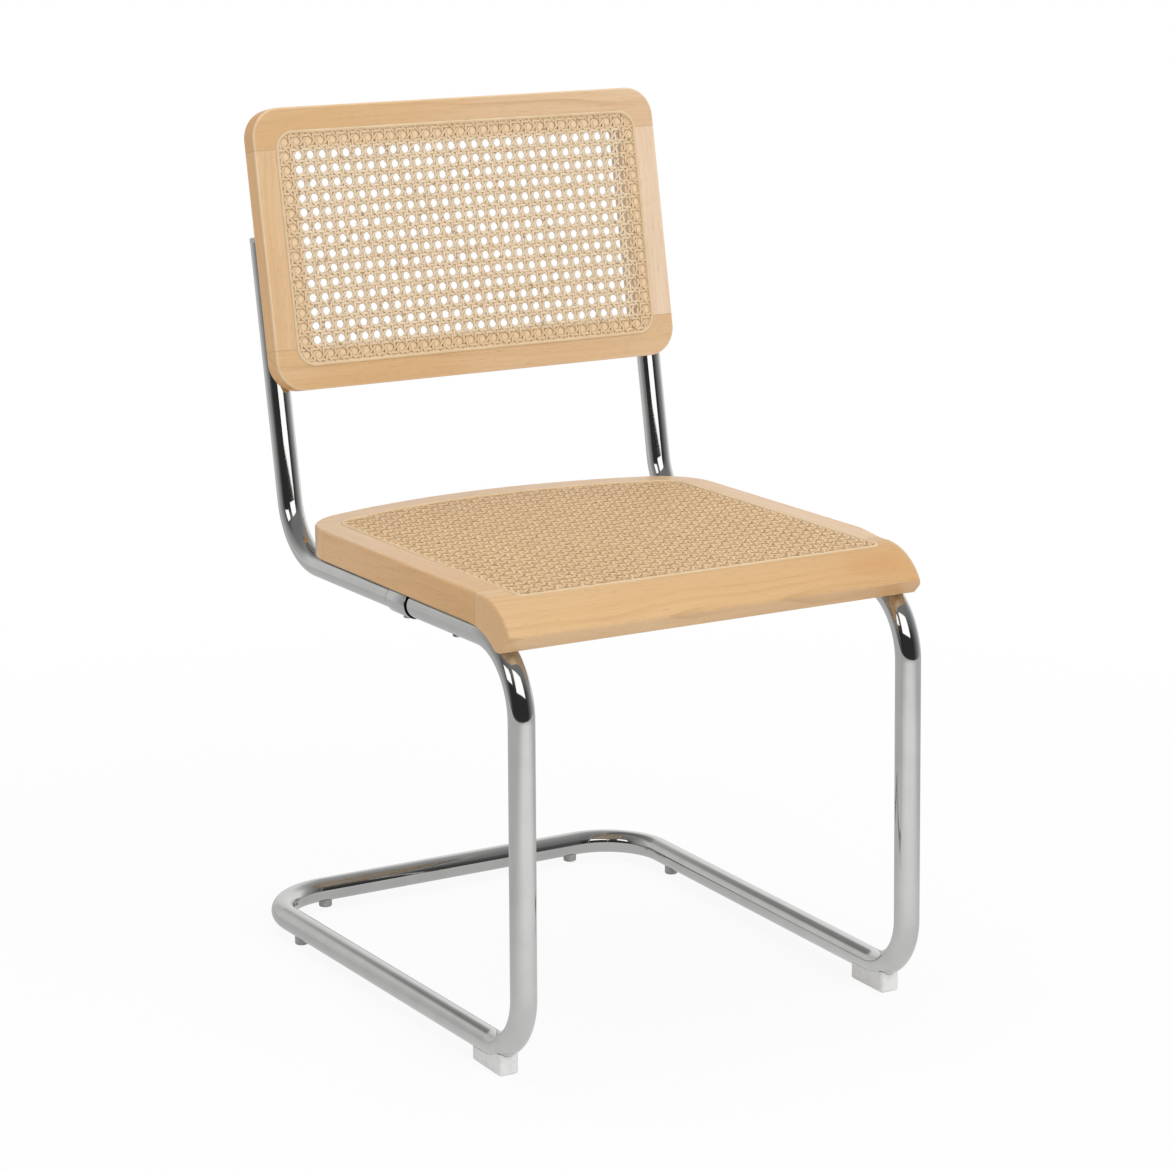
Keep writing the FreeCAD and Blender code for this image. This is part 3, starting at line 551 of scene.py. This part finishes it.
STRAND_SIDES = 6
NODE_SPACING_MM = 170.0
OVER_WOOD_EDGE_MM = 3.0
THREAD_MM = 0.9
LINING_DEPTH = 0.00093
LINING_THICKNESS = 0.00047
LINING_ROWS = 80
LINING_COLUMNS = 12
LINING_TAN = (0.84, 0.575, 0.32, 1)
LINING_DARK = (0.70, 0.465, 0.25, 1)
# Painted shade for the cloth's underside
LINING_UNDERSIDE_SHADE = (0.46, 0.43, 0.37, 1)
CANE_PALE = (0.92, 0.665, 0.395, 1)
CANE_TAN = (0.66, 0.435, 0.225, 1)
# Painted shade for strands that lie on wood
CANE_OVER_WOOD_SHADE = (0.74, 0.49, 0.25, 1)
# Painted shade along the edges of the strands
CANE_EDGE_SHADE = (0.36, 0.26, 0.16, 1)
CANE_NODE = (0.36, 0.21, 0.10, 1)
REED_PALE = (0.82, 0.655, 0.43, 1)
REED_TAN = (0.70, 0.51, 0.30, 1)


def strand_tree():
    """Flat strands along lines, waved over and under each other where they cross."""
    sizes = {"Width": "Float", "Thickness": "Float", "Step": "Float", "Sides": "Int", "Lattice": "Vector",
             "Waves across": "Float", "Waves up": "Float", "Wave start": "Float", "Wave height": "Float",
             "Finish": "Material"}
    tree, given = geometry_tree("woven strands", sizes)
    lines = given["Geometry"]
    curve = lines.node("GeometryNodeMeshToCurve", None, {"Mesh": lines})
    curve = lines.node("GeometryNodeResampleCurve", {"mode": "LENGTH"},
                       {"Curve": curve, "Length": given["Step"]})
    x, y, z = lines.node("GeometryNodeInputPosition").xyz()
    lattice_x, lattice_y, lattice_z = given["Lattice"].xyz()
    turns = (x - lattice_x) * given["Waves across"] + (y - lattice_y) * given["Waves up"]
    turns = turns + given["Wave start"]
    sway = lines.node("GeometryNodeInputNamedAttribute", {"data_type": "FLOAT"}, {"Name": "sway"})
    height = lines.maths("SINE", turns * math.tau) * sway * given["Wave height"]
    curve = lines.node("GeometryNodeSetPosition", None,
                       {"Geometry": curve, "Offset": lines.point(0, 0, height)})
    curve = lines.node("GeometryNodeSetCurveNormal", {"mode": "Z_UP"}, {"Curve": curve})
    ring = lines.node("GeometryNodeCurvePrimitiveCircle", None, {"Resolution": given["Sides"], "Radius": 0.5})
    edge = abs(lines.node("GeometryNodeInputPosition").xyz()[0]) * 2
    ring = lines.node("GeometryNodeStoreNamedAttribute", {"data_type": "FLOAT", "domain": "POINT"},
                      {"Geometry": ring, "Name": "edge", "Value": edge})
    flat = lines.point(given["Width"], given["Thickness"], 1.0)
    ring = lines.node("GeometryNodeTransform", None, {"Geometry": ring, "Scale": flat})
    swept = lines.node("GeometryNodeCurveToMesh", None,
                       {"Curve": curve, "Profile Curve": ring, "Scale": 1.0, "Fill Caps": True})
    finish_tree(swept, given["Finish"])
    return tree


def arc(centre, radius, start, end):
    """Points of an arc about a centre in a panel's plane, both ends included."""
    steps = max(ARC_STEPS_LEAST, math.ceil(abs(end - start) / ARC_STEP))
    angles = [start + (end - start) * i / steps for i in range(steps + 1)]
    return [Vector((centre[0] + radius * math.cos(a), centre[1] + radius * math.sin(a))) for a in angles]


def seat_loop(inset):
    """Plan of the seat's groove, anticlockwise, inset from its outer wall, with the waterfall laid flat."""
    half = SEAT_HALF_WIDTH - SEAT_MARGIN - inset
    bow = SEAT_BOW - SEAT_MARGIN - inset
    bow_centre = SEAT_REAR - SEAT_BOW
    rear_corner = SEAT_REAR_CORNER - inset
    front_corner = SEAT_FRONT_CORNER - inset
    fall = math.asin((WATERFALL_START - SEAT_CANE_FRONT) / WATERFALL_RADIUS)
    front = WATERFALL_START - WATERFALL_RADIUS * fall
    front += inset + front_corner
    reach = half - rear_corner
    rise = math.sqrt((bow - rear_corner) ** 2 - reach ** 2)
    tilt = math.atan2(rise, reach)
    loop = arc((reach, bow_centre + rise), rear_corner, 0, tilt)
    loop += arc((0, bow_centre), bow, tilt, math.pi - tilt)[1:-1]
    loop += arc((-reach, bow_centre + rise), rear_corner, math.pi - tilt, math.pi)
    loop += arc((front_corner - half, front), front_corner, math.pi, 1.5 * math.pi)
    loop += arc((half - front_corner, front), front_corner, 1.5 * math.pi, 2 * math.pi)
    return loop


def on_seat(point):
    """A point of the flat panel, laid on the seat and bent over its waterfall."""
    fall = max(0.0, WATERFALL_START - point.y) / WATERFALL_RADIUS
    reach = WATERFALL_RADIUS + point.z
    depth = max(point.y, WATERFALL_START) - reach * math.sin(fall)
    return level_place @ Vector((point.x, depth, SEAT_TOP - WATERFALL_RADIUS + reach * math.cos(fall)))


def chord(start, run, loop):
    """The part of a line that lies inside a convex anticlockwise loop, or nothing."""
    enter, leave = 0.0, 1.0
    for a, b in zip(loop, loop[1:] + loop[:1]):
        outward = Vector((b.y - a.y, a.x - b.x))
        distance = (start - a).dot(outward)
        speed = run.dot(outward)
        if speed > 0:
            leave = min(leave, -distance / speed)
        elif speed < 0:
            enter = max(enter, -distance / speed)
        elif distance > 0:
            return []
    return [start + run * enter, start + run * leave] if enter < leave else []


def extent(loop):
    """The lowest and the highest corner of a loop."""
    low = Vector((min(p.x for p in loop), min(p.y for p in loop)))
    high = Vector((max(p.x for p in loop), max(p.y for p in loop)))
    return low, high


def strand_lines(loop, lattice):
    """Lines of each family of strands: where a line starts, its run, and which way it waves."""
    low, high = extent(loop)
    size = high - low
    slant = size.y * MESH_ACROSS / MESH_UP
    columns = range(math.floor((low.x - slant - lattice.x) / MESH_ACROSS) - 1,
                    math.ceil((high.x + slant - lattice.x) / MESH_ACROSS) + 1)
    rows = range(math.floor((low.y - lattice.y) / MESH_UP), math.ceil((high.y - lattice.y) / MESH_UP) + 1)
    families = {"along": [], "across": [], "rising": [], "falling": []}
    skew = (low.y - lattice.y) / MESH_UP
    for column in columns:
        x = lattice.x + column * MESH_ACROSS
        for side in (-1, 1):
            families["along"].append((Vector((x + side * PAIR_HALF, low.y)), Vector((0, size.y)), side))
        for family, lean in (("rising", 1), ("falling", -1)):
            start = Vector((x + (0.5 + lean * skew) * MESH_ACROSS, low.y))
            families[family].append((start, Vector((lean * slant, size.y)), lean))
    for row in rows:
        for side in (-1, 1):
            y = lattice.y + row * MESH_UP + side * PAIR_HALF
            families["across"].append((Vector((low.x, y)), Vector((size.x, 0)), -side))
    return families


def cane_finish(name, place, heading, panel, tan, pale, opening):
    """Split rattan skin: every strand has its own tone, painted shade along its edges, fine fibres along it,
    and dark nodes. Outside the opening, where it lies on wood, it is coloured darker and oranger as painted
    shade."""
    finish, pen, shader = new_finish(name, IOR=1.5, Coat_Roughness=0.25)
    x, y, z = place_in(pen, place).xyz()
    along = x * math.cos(heading) + y * math.sin(heading)
    across = y * math.cos(heading) - x * math.sin(heading)
    tone = pen.node("ShaderNodeAttribute", {"attribute_name": "tone"}, None, "Fac")
    fibre = pen.noise(pen.point(along * 0.05, across * 4.5, tone * 40.0), 3.0).between(0.3, 0.7)
    blotch = pen.noise(pen.point(along * 0.09, tone * 90.0, panel), 3.0).between(0.35, 0.65)
    beat = pen.maths("FRACT", along * (1 / NODE_SPACING_MM) + tone * 13.7)
    mark = 1.0 - abs(beat - 0.5).between(0.003, 0.012)
    colour = pen.mix(tone * 0.35 + blotch * 0.35 + fibre * 0.3, tan, pale)
    # Painted shade: strands that lie on wood are coloured darker and oranger than those over the opening
    if opening:
        half, low, high = [1000 * value for value in opening]
        within = 1 - abs(x).between(half - OVER_WOOD_EDGE_MM, half + OVER_WOOD_EDGE_MM)
        open_here = within * y.between(low - OVER_WOOD_EDGE_MM, low + OVER_WOOD_EDGE_MM)
        open_here = open_here * (1 - y.between(high - OVER_WOOD_EDGE_MM, high + OVER_WOOD_EDGE_MM))
        colour = pen.mix((1 - open_here) * 0.5, colour, CANE_OVER_WOOD_SHADE)
    # Painted shade along each strand's edges, where strands shade each other
    edge_shade = pen.node("ShaderNodeAttribute", {"attribute_name": "edge"}, None, "Fac").between(0.72, 1.0)
    colour = pen.mix(edge_shade * 0.65, colour, CANE_EDGE_SHADE)
    colour = pen.mix(mark * 0.7, colour, CANE_NODE)
    paint(pen, shader, Base_Color=colour, Roughness=0.38 + fibre * 0.14, Normal=relief(pen, fibre, 0.00005))
    return finish


def reed_finish(name, place):
    """Round reed core: paler than the skin, with fine fibres."""
    finish, pen, shader = new_finish(name, IOR=1.45)
    x, y, z = place_in(pen, place).xyz()
    fibre = pen.noise(pen.point(x * 1.6, y * 1.6, z * 1.6), 3.0).between(0.3, 0.7)
    blotch = pen.noise(pen.point(x * 0.03, y * 0.03, 0.0), 2.0).between(0.3, 0.7)
    paint(pen, shader, Base_Color=pen.mix(fibre * 0.5 + blotch * 0.4, REED_PALE, REED_TAN),
          Roughness=0.5 + fibre * 0.1, Normal=relief(pen, fibre, 0.00006))
    return finish


def weave(panel, loop, lattice, place, settle, tan, pale, opening=None):
    """The four families of strands of one panel, each a piece of its own. No strand lies quite true."""
    draws = random.Random(len(panel))
    slope = math.atan2(MESH_UP, MESH_ACROSS)
    headings = {"along": math.pi / 2, "across": 0.0, "rising": slope, "falling": math.pi - slope}
    for number, (family, lines) in enumerate(strand_lines(loop, lattice).items()):
        points, sways, tones = [], [], []
        for start, run, sway in lines:
            stray = Vector((draws.gauss(0, STRAND_STRAY), draws.gauss(0, STRAND_STRAY)))
            ends = chord(start + stray, run, loop)
            points += [(end.x, end.y, 0.0) for end in ends]
            sways += [sway] * len(ends)
            tones += [draws.random()] * len(ends)
        edges = [(i, i + 1) for i in range(0, len(points), 2)]
        name = "%s_strands_%s" % (panel, family)
        finish = cane_finish("cane " + name, place, headings[family], number + len(panel), tan, pale, opening)
        slanted = family in ("rising", "falling")
        sizes = {"Width": SLANT_WIDTH if slanted else PAIR_WIDTH, "Thickness": STRAND_THICKNESS,
                 "Step": STRAND_STEP, "Sides": STRAND_SIDES, "Finish": finish,
                 "Lattice": (lattice.x, lattice.y, 0.0), "Wave height": STRAND_WAVE,
                 "Waves across": 0.0 if family == "along" else 1 / MESH_ACROSS,
                 "Waves up": 1 / MESH_UP if family == "along" else 0.0,
                 "Wave start": 0.25 if slanted else 0.0}
        source = lines_mesh(name, points, edges, sway=sways, tone=tones)
        piece = grow(name, source, woven_strands, sizes)
        for vertex in piece.data.vertices:
            vertex.co = settle(vertex.co)
        stand_for(piece, "woven_cane", panel + "_cane")


def surface(name, points, faces, finish):
    """An object of plain faces with one finish."""
    mesh = bpy.data.meshes.new(name)
    mesh.from_pydata(points, [], faces)
    mesh.materials.append(finish)
    piece = bpy.data.objects.new(name, mesh)
    bpy.context.collection.objects.link(piece)
    return piece


def lining_finish():
    """Coarse brown cloth, seen in shade through the meshes, and grey on its underside as painted shade."""
    finish, pen, shader = new_finish("seat lining cloth", IOR=1.4, Roughness=0.9)
    x, y, z = place_in(pen, level_place).xyz()
    warp = pen.maths("SINE", x * (math.tau / THREAD_MM))
    weft = pen.maths("SINE", y * (math.tau / THREAD_MM))
    thread = (warp * weft).between(-0.8, 0.8)
    blotch = pen.noise(pen.point(x * 0.04, y * 0.04, 0.0)).between(0.3, 0.7)
    colour = pen.mix(thread * 0.5 + blotch * 0.4, LINING_TAN, LINING_DARK)
    # Painted shade: the underside of the cloth is grey
    under = pen.node("ShaderNodeAttribute", {"attribute_name": "under"}, None, "Fac")
    colour = pen.mix(under * (1 - thread * 0.2), colour, LINING_UNDERSIDE_SHADE)
    paint(pen, shader, Base_Color=colour, Normal=relief(pen, thread, 0.0001))
    return finish


def seat_lining(loop):
    """A cloth laid under the seat's cane, so that nothing shows through its meshes."""
    low, high = extent(loop)
    across = Vector((high.x - low.x, 0))
    points = []
    for row in range(LINING_ROWS):
        share = (row + 0.02) / (LINING_ROWS - 0.96)
        start, end = chord(Vector((low.x, low.y + (high.y - low.y) * share)), across, loop)
        line = [start + (end - start) * column / LINING_COLUMNS for column in range(LINING_COLUMNS + 1)]
        points += [on_seat(Vector((p.x, p.y, -LINING_DEPTH))) for p in line]
    wide = LINING_COLUMNS + 1
    faces = [(i, i + 1, i + 1 + wide, i + wide)
             for row in range(LINING_ROWS - 1) for i in range(row * wide, row * wide + LINING_COLUMNS)]
    cloth = surface("seat_lining", points, faces, lining_finish())
    thicken = cloth.modifiers.new("thickness", "SOLIDIFY")
    thicken.thickness = LINING_THICKNESS
    thicken.offset = -1.0
    cloth.data = bpy.data.meshes.new_from_object(cloth.evaluated_get(bpy.context.evaluated_depsgraph_get()))
    cloth.modifiers.clear()
    under = [0.0] * len(points) + [1.0] * len(points)
    cloth.data.attributes.new("under", "FLOAT", "POINT").data.foreach_set("value", under)
    return cloth


woven_strands = strand_tree()
seat_spline_line = seat_loop(SPLINE_HALF)
seat_lattice = Vector((MESH_ACROSS / 2, SEAT_LATTICE_DEPTH))
weave("seat", seat_spline_line, seat_lattice, level_place,
      lambda point: on_seat(point - Vector((0, 0, CANE_DEPTH))), CANE_TAN, CANE_PALE)
lining = seat_lining(seat_spline_line)
stand_for(lining, "woven_cane", "seat_cane")
spans = [max(p[axis] for p in seat_spline_line) - min(p[axis] for p in seat_spline_line) for axis in (0, 1)]
cut_area = sum(a.cross(b) for a, b in zip(seat_spline_line, seat_spline_line[1:] + seat_spline_line[:1])) / 2
reed_sink = SPLINE_PROUD - SPLINE_HALF
seat_reed = [on_seat(Vector((p.x, p.y, reed_sink))) for p in seat_spline_line]
seat_spline = rod("seat_reed", seat_reed, [SPLINE_HALF] * len(seat_reed), [0.0] * len(seat_reed),
                  reed_finish("seat reed", level_place), SPLINE_SIDES, closed=True)
stand_for(seat_spline, "reed_spline", "seat_spline")

# Back frame
# The same beech: a top and a bottom rail over the full width with two stiles between them, dowelled, all
# edges eased. Its rear face is hollowed to the uprights, and it is screwed to them from behind.
BACK_HALF_WIDTH = 0.230
BACK_LOWER = 0.1625
BACK_UPPER = 0.4435
BACK_MEMBER = 0.0415
BACK_FRONT_FACE = 0.0347
BACK_CORNER_MM = 30.0
REBATE_INSET_MM = (20.0, 21.0)
REBATE_TOP_MM = (1.0, 1.2)
REBATE_BOTTOM_MM = (3.0, 3.2)
ARRIS_MM = (0.8, 2.6)
SIDE_INSET_MM = (0.2, 0.8)
SIDE_DEPTH_MM = (2.0, 3.2)
# Painted shade: a warmer, darker tint for the back's sides
BACK_SIDE_SHADE_TINT = (1.10, 0.96, 0.73, 1)
# Painted light on the rebate floor under the cane
REBATE_PAINTED_LIGHT = (0.93, 0.70, 0.44, 1)
# A painted highlight along the front arris of the back
ARRIS_HIGHLIGHT = (0.95, 0.76, 0.54, 1)
back_place = (level_place @ Matrix.Translation((0, SEAT_RAIL_LENGTH, SEAT_RAIL_HEIGHT))
              @ Matrix.Rotation(math.pi / 2 - UPRIGHT_LEAN, 4, "X"))
back_joints = [1000 * (BACK_LOWER + BACK_MEMBER), 1000 * (BACK_UPPER - BACK_MEMBER)]
back_grain = (-1000 * BACK_HALF_WIDTH, 1000 * BACK_HALF_WIDTH)


def from_edge(x, y, z):
    """Millimetres from the outline of the back, right within its corner radius, and from its front face."""
    beside = abs(x) - (BACK_HALF_WIDTH * 1000 - BACK_CORNER_MM)
    above = abs(y - (BACK_LOWER + BACK_UPPER) * 500) - ((BACK_UPPER - BACK_LOWER) * 500 - BACK_CORNER_MM)
    beside, above = [x.maths("MAXIMUM", reach, 0.0) for reach in (beside, above)]
    inset = BACK_CORNER_MM - x.maths("SQRT", beside * beside + above * above)
    return inset, BACK_FRONT_FACE * 1000 - z


def rebate_floor(x, y, z):
    """1 on the floor of the rebate under the cane, which is painted lighter where the strands shade it."""
    inset, depth = from_edge(x, y, z)
    sunk = depth.between(*REBATE_TOP_MM) * (1 - depth.between(*REBATE_BOTTOM_MM))
    return inset.between(*REBATE_INSET_MM) * sunk


def front_arris(x, y, z):
    """1 along the eased edge between the front face and the sides, where a highlight is painted."""
    inset, depth = from_edge(x, y, z)
    return (1 - inset.between(*ARRIS_MM)) * (1 - depth.between(*ARRIS_MM))


def outer_sides(x, y, z):
    """1 on the sides, the top and the bottom of the back, which take a tint of painted shade."""
    inset, depth = from_edge(x, y, z)
    return (1 - inset.between(*SIDE_INSET_MM)) * depth.between(*SIDE_DEPTH_MM)


back_boards = {
    "top_rail": (True, back_grain, (0.05, 0.6), 0.16, 0.35),
    "bottom_rail": (True, back_grain, (0.03, 0.35), 0.06, 0.3),
    "left_stile": (False, back_joints, (0.1, 0.3), 0.0, 0.2),
    "right_stile": (False, back_joints, (0.95, 1.0), 0.0, 0.15),
}
# Painted light on the rebate floor and a painted highlight along the front arris
back_zones = ((rebate_floor, "MIX", 0.8, REBATE_PAINTED_LIGHT), (front_arris, "MIX", 0.45, ARRIS_HIGHLIGHT),
              # Painted shade on the sides, the top and the bottom
              (outer_sides, "MULTIPLY", 1.0, BACK_SIDE_SHADE_TINT))
for board, (part, kind) in enumerate(back_boards.items()):
    beech = beech_finish("beech back " + part, back_place, board + 4, kind, back_joints, back_zones)
    dress(beech, "back_" + part)

# Back cane
# The same webbing and spline, in a rounded rectangle on the front face of the back. It spans the open middle
# of the frame, so daylight shows through its meshes.
# The back's strands are paler and greyer than the seat's, as painted light from the white behind them
BACK_CANE_PALE = (0.93, 0.755, 0.545, 1)
BACK_CANE_TAN = (0.75, 0.585, 0.385, 1)
BACK_MARGIN = 0.023
BACK_CANE_CORNER = 0.020
HOLE_SHIFT = 0.0021
SKIRT_INSETS = (0.0034, 0.0048)
SKIRT_DEPTHS = (0.0009, 0.0055)


def back_loop(inset):
    """Outline of the back's groove, anticlockwise, inset from its outer wall."""
    corner = BACK_CANE_CORNER - inset
    half = BACK_HALF_WIDTH - BACK_MARGIN - inset - corner
    low = BACK_LOWER + BACK_MARGIN + inset + corner
    high = BACK_UPPER - BACK_MARGIN - inset - corner
    quarter = math.pi / 2
    loop = []
    for turn, (x, y) in enumerate(((half, high), (-half, high), (-half, low), (half, low))):
        loop += arc((x, y), corner, turn * quarter, (turn + 1) * quarter)
    return loop


def back_skirt():
    """The edge of the webbing, turned down into the groove beside the reed."""
    outer, inner = [back_loop(inset) for inset in SKIRT_INSETS]
    top, bottom = [BACK_FRONT_FACE - depth for depth in SKIRT_DEPTHS]
    points = [back_place @ Vector((p.x, p.y, z)) for loop, z in
              ((outer, bottom), (outer, top), (inner, top), (inner, bottom)) for p in loop]
    count = len(outer)
    faces = []
    for ring in range(4):
        low, high = ring * count, (ring + 1) % 4 * count
        for i in range(count):
            j = (i + 1) % count
            faces.append((low + i, low + j, high + j, high + i))
    return surface("back_skirt", points, faces, reed_finish("turned cane", back_place))


back_spline_line = back_loop(SPLINE_HALF)
back_lattice = Vector((HOLE_SHIFT + MESH_ACROSS / 2, (BACK_LOWER + BACK_UPPER) / 2))
weave("back", back_spline_line, back_lattice, back_place,
      lambda point: back_place @ (point + Vector((0, 0, BACK_FRONT_FACE - CANE_DEPTH))),
      BACK_CANE_TAN, BACK_CANE_PALE,
      (BACK_HALF_WIDTH - BACK_MEMBER, BACK_LOWER + BACK_MEMBER, BACK_UPPER - BACK_MEMBER))
stand_for(back_skirt(), "woven_cane", "back_cane")
back_reed = [back_place @ Vector((p.x, p.y, BACK_FRONT_FACE + reed_sink)) for p in back_spline_line]
back_spline = rod("back_reed", back_reed, [SPLINE_HALF] * len(back_reed), [0.0] * len(back_reed),
                  reed_finish("back reed", back_place), SPLINE_SIDES, closed=True)
stand_for(back_spline, "reed_spline", "back_spline")

# Studio
# A white floor that keeps a soft shadow, a white surround, one large soft lamp in front and one above. A
# shell, dark towards the camera, and two white panels are there only to be mirrored in the chrome.
CAMERA_EYE = Vector((-1.60700, -2.81079, 1.16513))
CAMERA_AZIMUTH = math.radians(-29.9528)
CAMERA_ELEVATION = math.radians(13.4795)
CAMERA_ROLL = math.radians(-0.3357)
CAMERA_LENS = 103.316
FLOOR_SIZE = 30.0
FLOOR_GLOW = 0.9
FLOOR_FADE = (0.5, 1.6)
FLOOR_WHITE = (0.95, 0.95, 0.95, 1)
LIGHT_POOL = (-0.02, -1.2)
POOL_EDGE = (0.35, 1.5)
POOL_LIFT = 0.02
POOL_FALL = 0.41
AMBIENT = 0.58
SHELL_RADIUS = 2.4
SHELL_RINGS = 10
SHELL_SIDES = 48
PANEL_GLOW = 1.7
ROOF_GLOW = 0.24
ROOF_LIFT = 0.22
ROOF_EDGE = (1.0, 1.9)
BEAM_EDGE = (1.0, 1.4)
BEAM_SHADE = 0.5


def rays(pen, *kinds):
    """1 for rays of the named kinds."""
    flags = [pen.node("ShaderNodeLightPath", None, None, "Is %s Ray" % kind) for kind in kinds]
    total = flags[0]
    for flag in flags[1:]:
        total = total + flag
    return pen.maths("MINIMUM", total, 1.0)


def stage_mesh(name, points, faces, finish):
    """A surface that is no part of the chair."""
    piece = surface(name, points, faces, finish)
    return piece


def mirrored_only(piece):
    """Leaves a piece of the stage to be seen in the chrome alone."""
    for ray in ("camera", "diffuse", "shadow", "transmission", "volume_scatter"):
        setattr(piece, "visible_" + ray, False)


def stage_finish(name):
    finish = bpy.data.materials.new(name)
    finish.use_nodes = True
    finish.node_tree.nodes.clear()
    return finish, Wire(finish.node_tree)


def glowing(name, strength):
    """A finish that only glows."""
    finish, pen = stage_finish(name)
    glow = pen.node("ShaderNodeEmission", None, {"Strength": strength})
    pen.node("ShaderNodeOutputMaterial", None, {"Surface": glow})
    return finish


floor_white, pen = stage_finish("white floor")
x, y, z = pen.node("ShaderNodeTexCoord", None, None, "Object").xyz()
afar = pen.maths("SQRT", x * x + y * y).between(*FLOOR_FADE)
pool_x, pool_y = x - LIGHT_POOL[0], y - LIGHT_POOL[1]
off_pool = pen.maths("SQRT", pool_x * pool_x + pool_y * pool_y).between(*POOL_EDGE)
mirrored = rays(pen, "Glossy")
matt = pen.node("ShaderNodeBsdfDiffuse", None, {"Color": FLOOR_WHITE})
glow = pen.node("ShaderNodeEmission", None, {"Strength": 1 + mirrored * (POOL_LIFT - off_pool * POOL_FALL)})
glow_share = rays(pen, "Camera", "Transmission") * (FLOOR_GLOW + afar * (1 - FLOOR_GLOW)) + mirrored
lit = pen.node("ShaderNodeMixShader", None, {0: glow_share, 1: matt, 2: glow})
pen.node("ShaderNodeOutputMaterial", None, {"Surface": lit})
half = FLOOR_SIZE / 2
stage_mesh("floor", [(-half, -half, 0), (half, -half, 0), (half, half, 0), (-half, half, 0)], [(0, 1, 2, 3)],
           floor_white)

# The shell's glow by bearing: 0 and 1 lie behind the chair as the camera sees it, one half lies at the camera
wall_stops = [
    (0.0, 0.97), (0.07, 0.85), (0.11, 0.64), (0.17, 0.77), (0.21, 0.54), (0.283, 0.31),
    (0.32, 0.10), (0.35, 0.04), (0.65, 0.04), (0.71, 0.16), (0.765, 0.33),
    (0.81, 0.48), (0.845, 0.75), (0.875, 1.05), (0.93, 1.03), (1.0, 0.97),
]
shell_finish, pen = stage_finish("studio shell")
x, y, z = pen.node("ShaderNodeTexCoord", None, None, "Object").xyz()
aside = x * math.cos(CAMERA_AZIMUTH) + y * math.sin(CAMERA_AZIMUTH)
ahead = x * math.sin(CAMERA_AZIMUTH) - y * math.cos(CAMERA_AZIMUTH)
bearing = pen.maths("ARCTAN2", aside, ahead) * (1 / math.tau) + 0.5
wall = pen.node("ShaderNodeValToRGB", {"stops": wall_stops}, {0: bearing})
roof = ROOF_GLOW + (1 - ahead.between(-2.0, 0.5)) * ROOF_LIFT
roof_share = z.between(*ROOF_EDGE)
beam = z.between(*BEAM_EDGE) * bearing.between(0.0, 0.03) * (1 - bearing.between(0.12, 0.17))
strength = (wall * (1 - roof_share) + roof * roof_share) * (1 - beam * BEAM_SHADE)
glow = pen.node("ShaderNodeEmission", None, {"Strength": strength})
pen.node("ShaderNodeOutputMaterial", None, {"Surface": glow})
points = []
for ring in range(SHELL_RINGS):
    rise = math.pi / 2 * ring / SHELL_RINGS
    girth = SHELL_RADIUS * math.cos(rise)
    for i in range(SHELL_SIDES):
        turn = math.tau * i / SHELL_SIDES
        points.append((girth * math.cos(turn), girth * math.sin(turn), SHELL_RADIUS * math.sin(rise)))
faces = []
for ring in range(SHELL_RINGS - 1):
    for i in range(SHELL_SIDES):
        j = (i + 1) % SHELL_SIDES
        low, high = ring * SHELL_SIDES, (ring + 1) * SHELL_SIDES
        faces.append((low + i, low + j, high + j, high + i))
faces.append(tuple((SHELL_RINGS - 1) * SHELL_SIDES + i for i in range(SHELL_SIDES)))
mirrored_only(stage_mesh("shell", points, faces, shell_finish))

# White panels: the corners from the lower left round to the upper left
panels = {
    "front_panel": ((-0.81, -0.92, 0.73), (0.29, -1.35, 0.73), (0.29, -1.35, 1.47), (-0.81, -0.92, 1.47)),
    "left_panel": ((-1.79, 0.01, 0.68), (-1.69, -0.87, 1.05), (-1.69, -0.87, 1.65), (-1.79, 0.01, 1.11)),
}
for name, corners in panels.items():
    mirrored_only(stage_mesh(name, corners, [(0, 1, 2, 3)], glowing(name, PANEL_GLOW)))

world = bpy.data.worlds.new("studio")
bpy.context.scene.world = world
world.use_nodes = True
world.node_tree.nodes.clear()
pen = Wire(world.node_tree)
direct = rays(pen, "Camera", "Glossy", "Transmission")
sky = pen.node("ShaderNodeBackground", None,
               {"Color": (1, 1, 1, 1), "Strength": direct + (1 - direct) * AMBIENT})
pen.node("ShaderNodeOutputWorld", None, {"Surface": sky})


def soft_lamp(name, place, target, size, power):
    lamp = bpy.data.lights.new(name, "AREA")
    lamp.shape = "SQUARE"
    lamp.size = size
    lamp.energy = power
    stand = bpy.data.objects.new(name, lamp)
    stand.location = place
    stand.rotation_euler = (Vector(target) - Vector(place)).to_track_quat("-Z", "Y").to_euler()
    stand.visible_glossy = False
    bpy.context.collection.objects.link(stand)


soft_lamp("front_lamp", (0.9, -3.2, 2.2), (0, 0, 0.5), 2.0, 47.0)
soft_lamp("top_lamp", (-0.3, 0.3, 3.2), (0, 0, 0.4), 2.2, 30.0)

camera = bpy.data.objects.new("camera", bpy.data.cameras.new("camera"))
camera.data.sensor_width = 36.0
camera.data.lens = CAMERA_LENS
back = Vector((math.sin(CAMERA_AZIMUTH) * math.cos(CAMERA_ELEVATION),
               -math.cos(CAMERA_AZIMUTH) * math.cos(CAMERA_ELEVATION), math.sin(CAMERA_ELEVATION)))
level_right = Vector((math.cos(CAMERA_AZIMUTH), math.sin(CAMERA_AZIMUTH), 0))
right = level_right * math.cos(CAMERA_ROLL) + back.cross(level_right) * math.sin(CAMERA_ROLL)
up = back.cross(right)
camera.matrix_world = Matrix.Translation(CAMERA_EYE) @ Matrix((right, up, back)).transposed().to_4x4()
bpy.context.collection.objects.link(camera)
bpy.context.scene.camera = camera
bpy.context.scene.view_settings.view_transform = "Standard"
